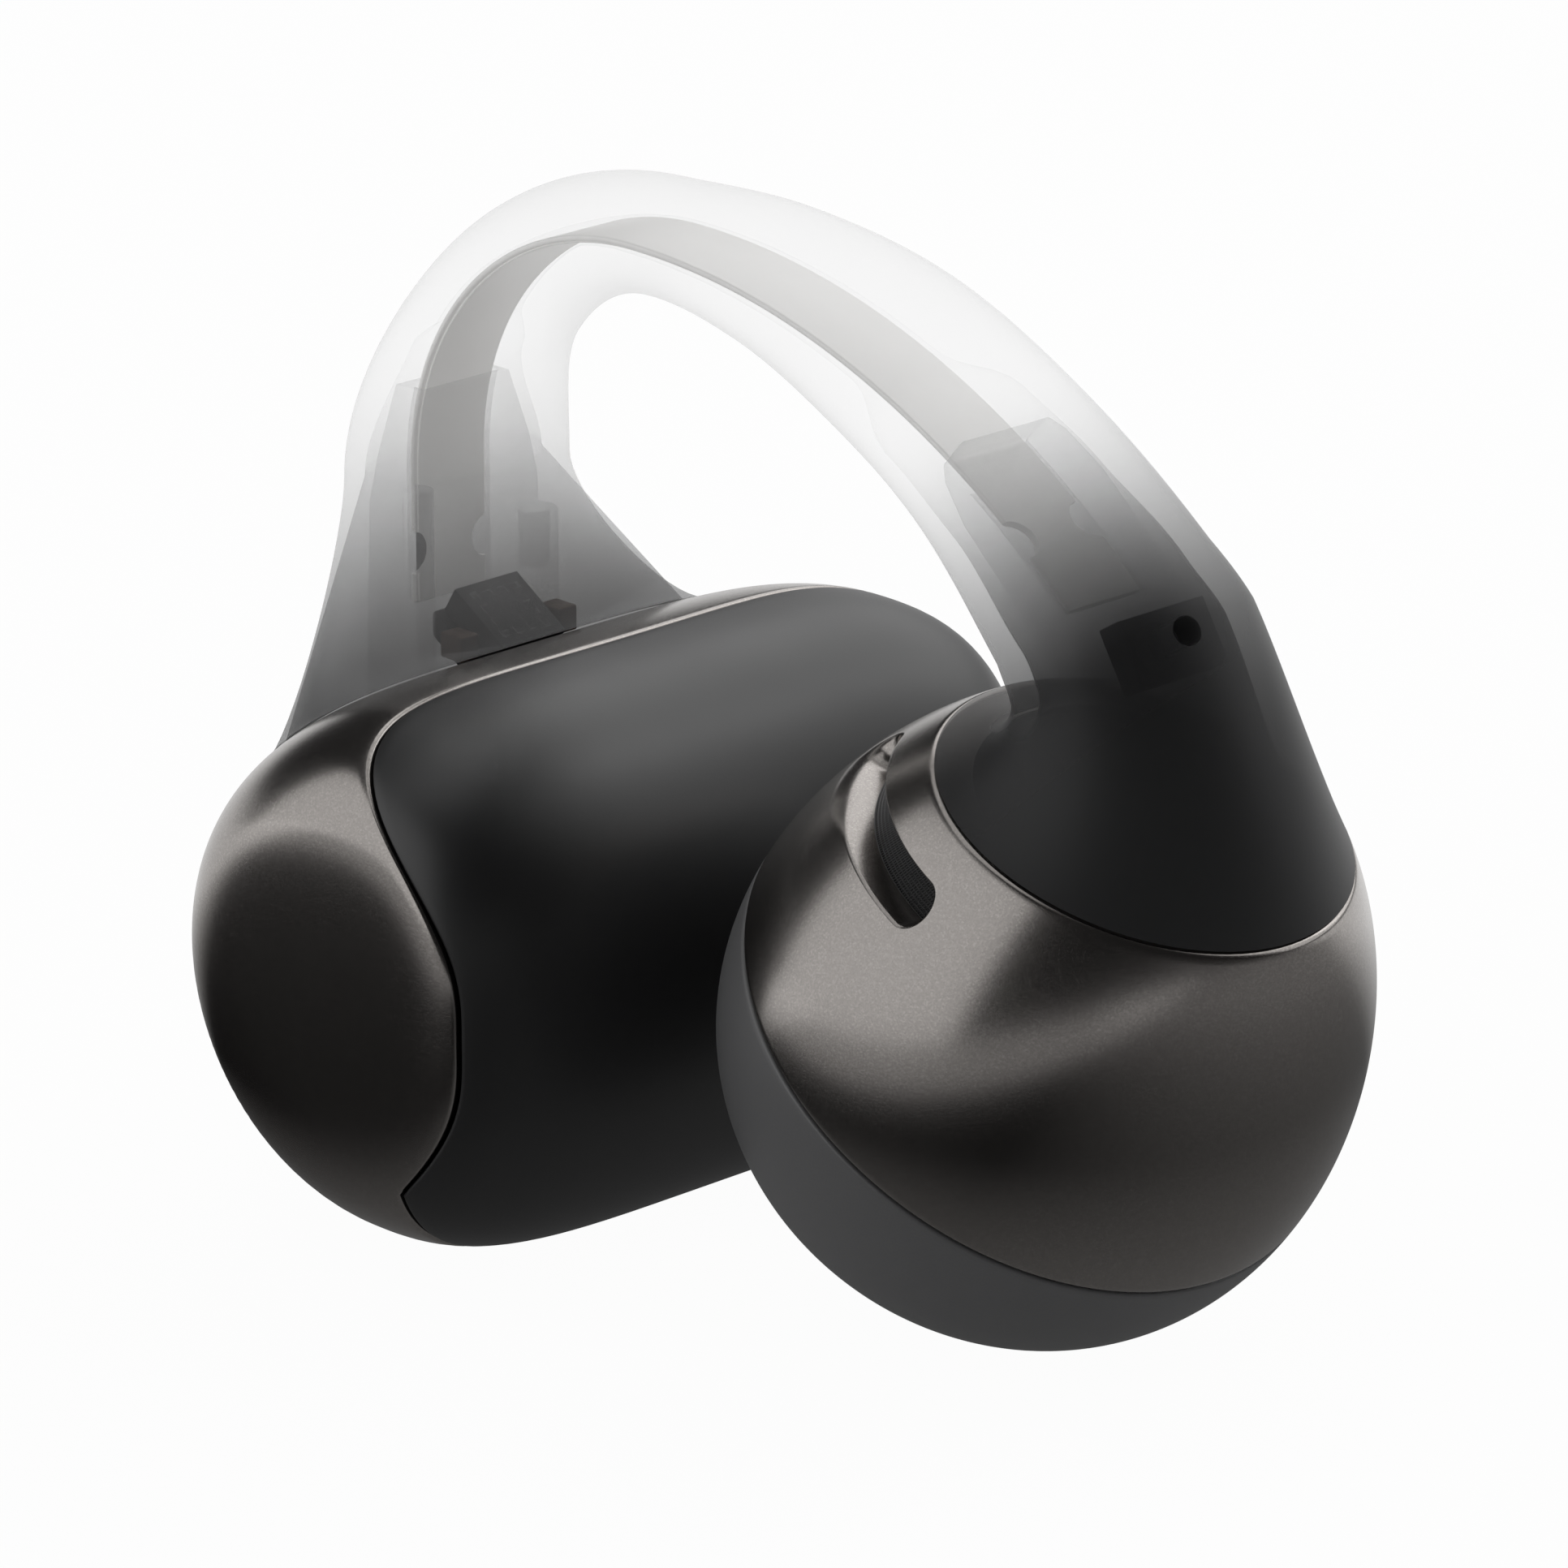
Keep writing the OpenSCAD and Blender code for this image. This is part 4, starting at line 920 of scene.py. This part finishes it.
def ribbon(name, low, high, width, lip):
    """A strip along the bridge's middle line, between two sides, with rounded long edges."""
    ts = np.linspace(0, 2, BEND_ROWS + 1)
    at, along, out = spine(ts)
    leg = np.linspace(0, 1, LEG_ROWS, endpoint=False)[:, None]
    foot_at = np.array([LEG_X, 0, LEG_Z])
    at = np.vstack([foot_at + leg*(LEG_TOP - foot_at), at])
    out = np.vstack([np.repeat(-ALONG_X[None], LEG_ROWS, 0), out])
    corner = np.linspace(0, math.pi/2, 4)
    half, middle, rise = width/2, (low + high)/2, (high - low)/2
    quarter = np.stack([half - lip + lip*np.cos(corner), rise - lip + lip*np.sin(corner)], 1)
    top = np.vstack([quarter, quarter[::-1]*[-1, 1]])
    ring = np.vstack([top, top[::-1]*[1, -1]])
    n = len(ring)
    last = len(at) - 1

    def place(row, share):
        k = np.rint(share*n).astype(int) % n
        i = np.clip(row - 1, 0, last)
        cap = (row == 0) | (row == last + 2)
        side = np.where(cap[:, None], 0, ring[k])
        return (at[i] + out[i]*(middle + side[:, 1])[:, None] + side[:, :1]*np.array([0, 1.0, 0]))

    return net(name, last + 2, n, place)


NOTCH_OFF, NOTCH_DEPTH, NOTCH_SIDES = 0.02, 2, 40


def notch_rods():
    """What the four locking notches take out of the strip."""
    away = STRIP_W/2 + NOTCH_OFF
    for s in (-1, 1):
        yield rod("notch", (LEG_X, s*away, LEG_Z + NOTCH_UP), ALONG_X, NOTCH_R, NOTCH_DEPTH, NOTCH_SIDES)
        at = TIP_AT - NOTCH_IN*TIP_DIR + np.array([0, s*away, 0])
        yield rod("notch", at, (TIP_DIR[2], 0, -TIP_DIR[0]), NOTCH_R, NOTCH_DEPTH, NOTCH_SIDES)


def bridge_strips():
    """The spring strip and the flex circuit under it."""
    for name, low, high, width, material, slot, node in (
            ("strip_spring", -STRIP_T/2, STRIP_T/2, STRIP_W, STRIP, "spring_metal", "spring_strip"),
            ("strip_flex", -STRIP_T/2 - FLEX_T, -STRIP_T/2 - FLEX_GAP, STRIP_W - FLEX_IN, FLEX, "coverlay",
             "bridge_flex")):
        piece = ribbon(name, low, high, width, STRIP_LIP*(high - low))
        carve(piece, *notch_rods())
        smooth(piece, CREASE)
        bends(piece)
        finish_piece(piece, material, None, slot, node)


SENSOR_A, SENSOR_LEAN = 1.9, 32
SENSOR_AT = np.array([LEG_X + 2.05, 0, LEG_Z + 0.05])
TRACE_PITCH, TRACE_ARM, TRACE_W, TRACE_T, TRACE_EDGE = SENSOR_A/4.6, 0.2, 0.022, 0.012, 0.28


def sensor_traces():
    """Fine L-shaped marks along the package's four sides."""
    arms = (((TRACE_ARM, TRACE_W, TRACE_T), (0, 0, 0)),
            ((TRACE_W, TRACE_ARM, TRACE_T), (TRACE_ARM/2, -TRACE_ARM/2, 0)))
    top = Matrix.Translation(SENSOR_AT) @ Matrix.Rotation(math.radians(SENSOR_LEAN), 4, "Y")
    pieces = []
    for side in range(4):
        for k in range(4):
            middle = ((k - 1.5)*TRACE_PITCH, SENSOR_A/2 - TRACE_EDGE, TRACE_T/2)
            at = Matrix.Rotation(side*math.pi/2, 4, "Z") @ Matrix.Translation(middle)
            for size, shift in arms:
                pieces.append(block("trace", size, top @ at @ Matrix.Translation(shift)))
    bpy.ops.object.select_all(action="DESELECT")
    for piece in pieces:
        piece.select_set(True)
    bpy.context.view_layer.objects.active = pieces[0]
    bpy.ops.object.join()
    traces = bpy.context.object
    traces.name = traces.data.name = "sensor_traces"
    finish_piece(traces, TRACE, "capsule", "chip_black")


def soft_edges():
    """Small rigid pieces that show through the sleeve or the slot, with rounded edges."""
    for node, name, width, material, body, slot in (
            ("rear_anchor", "anchor_rear", 0.07, CLEAR, "capsule", "clear_plastic"),
            ("front_anchor", "anchor_front", 0.07, CLEAR, "ball", "clear_plastic"),
            ("sensor_chip", "sensor_package", 0.02, CHIP, "capsule", "chip_black"),
            ("sensor_carrier", "sensor_base", 0.04, DARK, "capsule", "chip_black"),
            ("rear_terminals", "terminals_copper", 0.05, BRONZE, "capsule", "copper"),
            ("mic_module", "mic_body", 0.12, CHIP, "ball", "chip_black")):
        finish_piece(softened(node, name, width), material, body, slot)


def dress(material, *names):
    """Gives CAD nodes that stay their material."""
    for name in names:
        node = NODES[name]
        if not node.material_slots:
            node.data.materials.append(material)
        for slot in node.material_slots:
            slot.material = material


def inner_finishes():
    """Finishes of the pieces inside, which stay as CAD made them."""
    dress(DARK, "cell_cradle", "neck_plug", "outlet_carrier", "speaker_basket", "speaker_ring")
    dress(STEEL, "cell_can", "cell_top_cap", "speaker_yoke", "speaker_top_plate")
    dress(WRAP, "cell_insulator")
    dress(NICKEL, "cell_tabs")
    dress(BOARD, "capsule_board", "main_board")
    dress(CHIP, "charger_chip", "radio_chip")
    dress(CREAM, "board_plug", "board_socket")
    dress(COPPER, "touch_electrode", "far_touch_electrode", "voice_coil")
    dress(MAGNET, "dock_magnets", "speaker_magnet")
    dress(GOLD, "charge_pins")
    dress(MESH, "outlet_mesh")
    dress(FOAM, "speaker_gasket")
    dress(ROLL, "surround")
    dress(FILM, "diaphragm")
    dress(AMBER, "riser_flex")
    dress(CLEAR, "mic_tube")


# ---- stage, lamps and camera
CAMERA_TURN, CAMERA_RISE, CAMERA_FAR = 46.0, 19.18, 213.6
CAMERA_AIM = (-1.73, 0, 10.4)
FOCAL_PX, FRAME_PX, SENSOR = 12000, 1932, 36.0
LAMP_AIM = (0, 0, 10)
# name, turn to the camera's right, rise, distance in metres, size in metres, brightness
LAMPS = (
    ("softbox_left", -77, 20, 0.35, (0.54, 0.36), 0.95),
    ("softbox_top", -120, 76, 0.40, (0.30, 0.30), 0.7),
    ("softbox_right", 100, 32, 0.40, (0.26, 0.36), 1.0),
    ("backdrop", 148, 40, 0.45, (0.56, 0.46), 1.5))


def from_camera_side(turn, rise):
    """Direction by its turn to the right of the camera and its rise, in degrees."""
    turn, rise = math.radians(CAMERA_TURN + turn), math.radians(rise)
    return Vector((math.sin(turn)*math.cos(rise), -math.cos(turn)*math.cos(rise), math.sin(rise)))


WHITE_SHARE, FLOOR_TONE = 0.97, (0.86, 0.86, 0.86)


def floor_finish():
    """Pale floor that the camera and glass see as white, with a soft shadow left in it.

    Mirrors see it dark, with soft glows behind the piece, beside it and close to it."""
    f = Finish("floor_pale")
    seen = (f.ray("Camera") + f.ray("Transmission")).clamp()
    mirror = f.ray("Glossy")
    behind = (f.along(from_camera_side(180, 0))/0.017 - 0.5).clamp()
    right = (f.along(from_camera_side(90, 0))/0.05).clamp()
    left = (f.along(from_camera_side(-45, 0))/0.012 - 2.67).clamp()
    away = f.node("ShaderNodeVectorMath", {"operation": "LENGTH"}, {0: f.place}, "Value")
    near = (1.8 - away/0.011).clamp()
    glow = (0.01 + 0.9*behind + 0.26*right + 0.4*left + 0.15*near).clamp()
    pale = f.node("ShaderNodeBsdfDiffuse", {}, {"Color": f.mix(mirror, FLOOR_TONE, (0, 0, 0))})
    white = f.node("ShaderNodeEmission", {}, {"Color": (1, 1, 1, 1), "Strength": 1.0})
    mixed = f.node("ShaderNodeMixShader", {}, {0: (WHITE_SHARE*seen + glow*mirror).clamp(), 1: pale, 2: white})
    f.tree.links.new(mixed.socket, f.sheet.inputs["Surface"])
    return f.material


def world_finish():
    """White to the camera; mirrors see a dim studio with a pale wall low behind the piece."""
    f = Finish("studio", world=True)
    seen = (f.ray("Camera") + f.ray("Transmission")).clamp()
    behind = (3.0*f.along(from_camera_side(180, 0)) - 1.2).clamp()
    low = (1.6 - 11.0*f.along((0, 0, 1))).clamp()
    tone = f.mix((0.02 + 0.7*behind*low*f.ray("Glossy")).clamp(), (0, 0, 0), (1, 1, 1))
    light = f.node("ShaderNodeBackground", {}, {"Color": f.mix(seen, tone, (1, 1, 1)), "Strength": 1.0})
    f.tree.links.new(light.socket, f.sheet.inputs["Surface"])
    return f.material


FLOOR_SIZE, FLOOR_DROP = 2.4, 0.00002         # metres


def stage_and_light():
    """Floor, world and lamps."""
    scene = bpy.context.scene
    bpy.ops.object.select_all(action="DESELECT")
    bpy.ops.mesh.primitive_plane_add(size=FLOOR_SIZE, location=(0, 0, -FLOOR_DROP))
    floor = bpy.context.object
    floor.name = "floor"
    floor.data.materials.append(floor_finish())
    scene.world = world_finish()
    scene.view_settings.view_transform = "Standard"
    for name, turn, rise, far, size, bright in LAMPS:
        data = bpy.data.lights.new(name, "AREA")
        data.shape = "RECTANGLE"
        data.size, data.size_y = size
        data.energy = bright*math.pi*size[0]*size[1]
        lamp = bpy.data.objects.new(name, data)
        away = from_camera_side(turn, rise)
        lamp.matrix_world = (Matrix.Translation(Vector(LAMP_AIM)*MM + far*away)
                             @ away.to_track_quat("Z", "Y").to_matrix().to_4x4())
        bpy.context.collection.objects.link(lamp)


def camera():
    """A long lens at the object's seen side."""
    data = bpy.data.cameras.new("camera")
    data.sensor_width = data.sensor_height = SENSOR
    data.lens = FOCAL_PX/FRAME_PX*SENSOR
    data.clip_start, data.clip_end = 0.01, 20
    view = bpy.data.objects.new("camera", data)
    back = from_camera_side(0, CAMERA_RISE)
    at = (Vector(CAMERA_AIM) + CAMERA_FAR*back)*MM
    view.matrix_world = Matrix.Translation(at) @ back.to_track_quat("Z", "Y").to_matrix().to_4x4()
    bpy.context.collection.objects.link(view)
    bpy.context.scene.camera = view


camera()
stage_and_light()
capsule_shells()
ball_shells()
outlet_weave()
bridge_sleeve()
bridge_strips()
soft_edges()
sensor_traces()
inner_finishes()
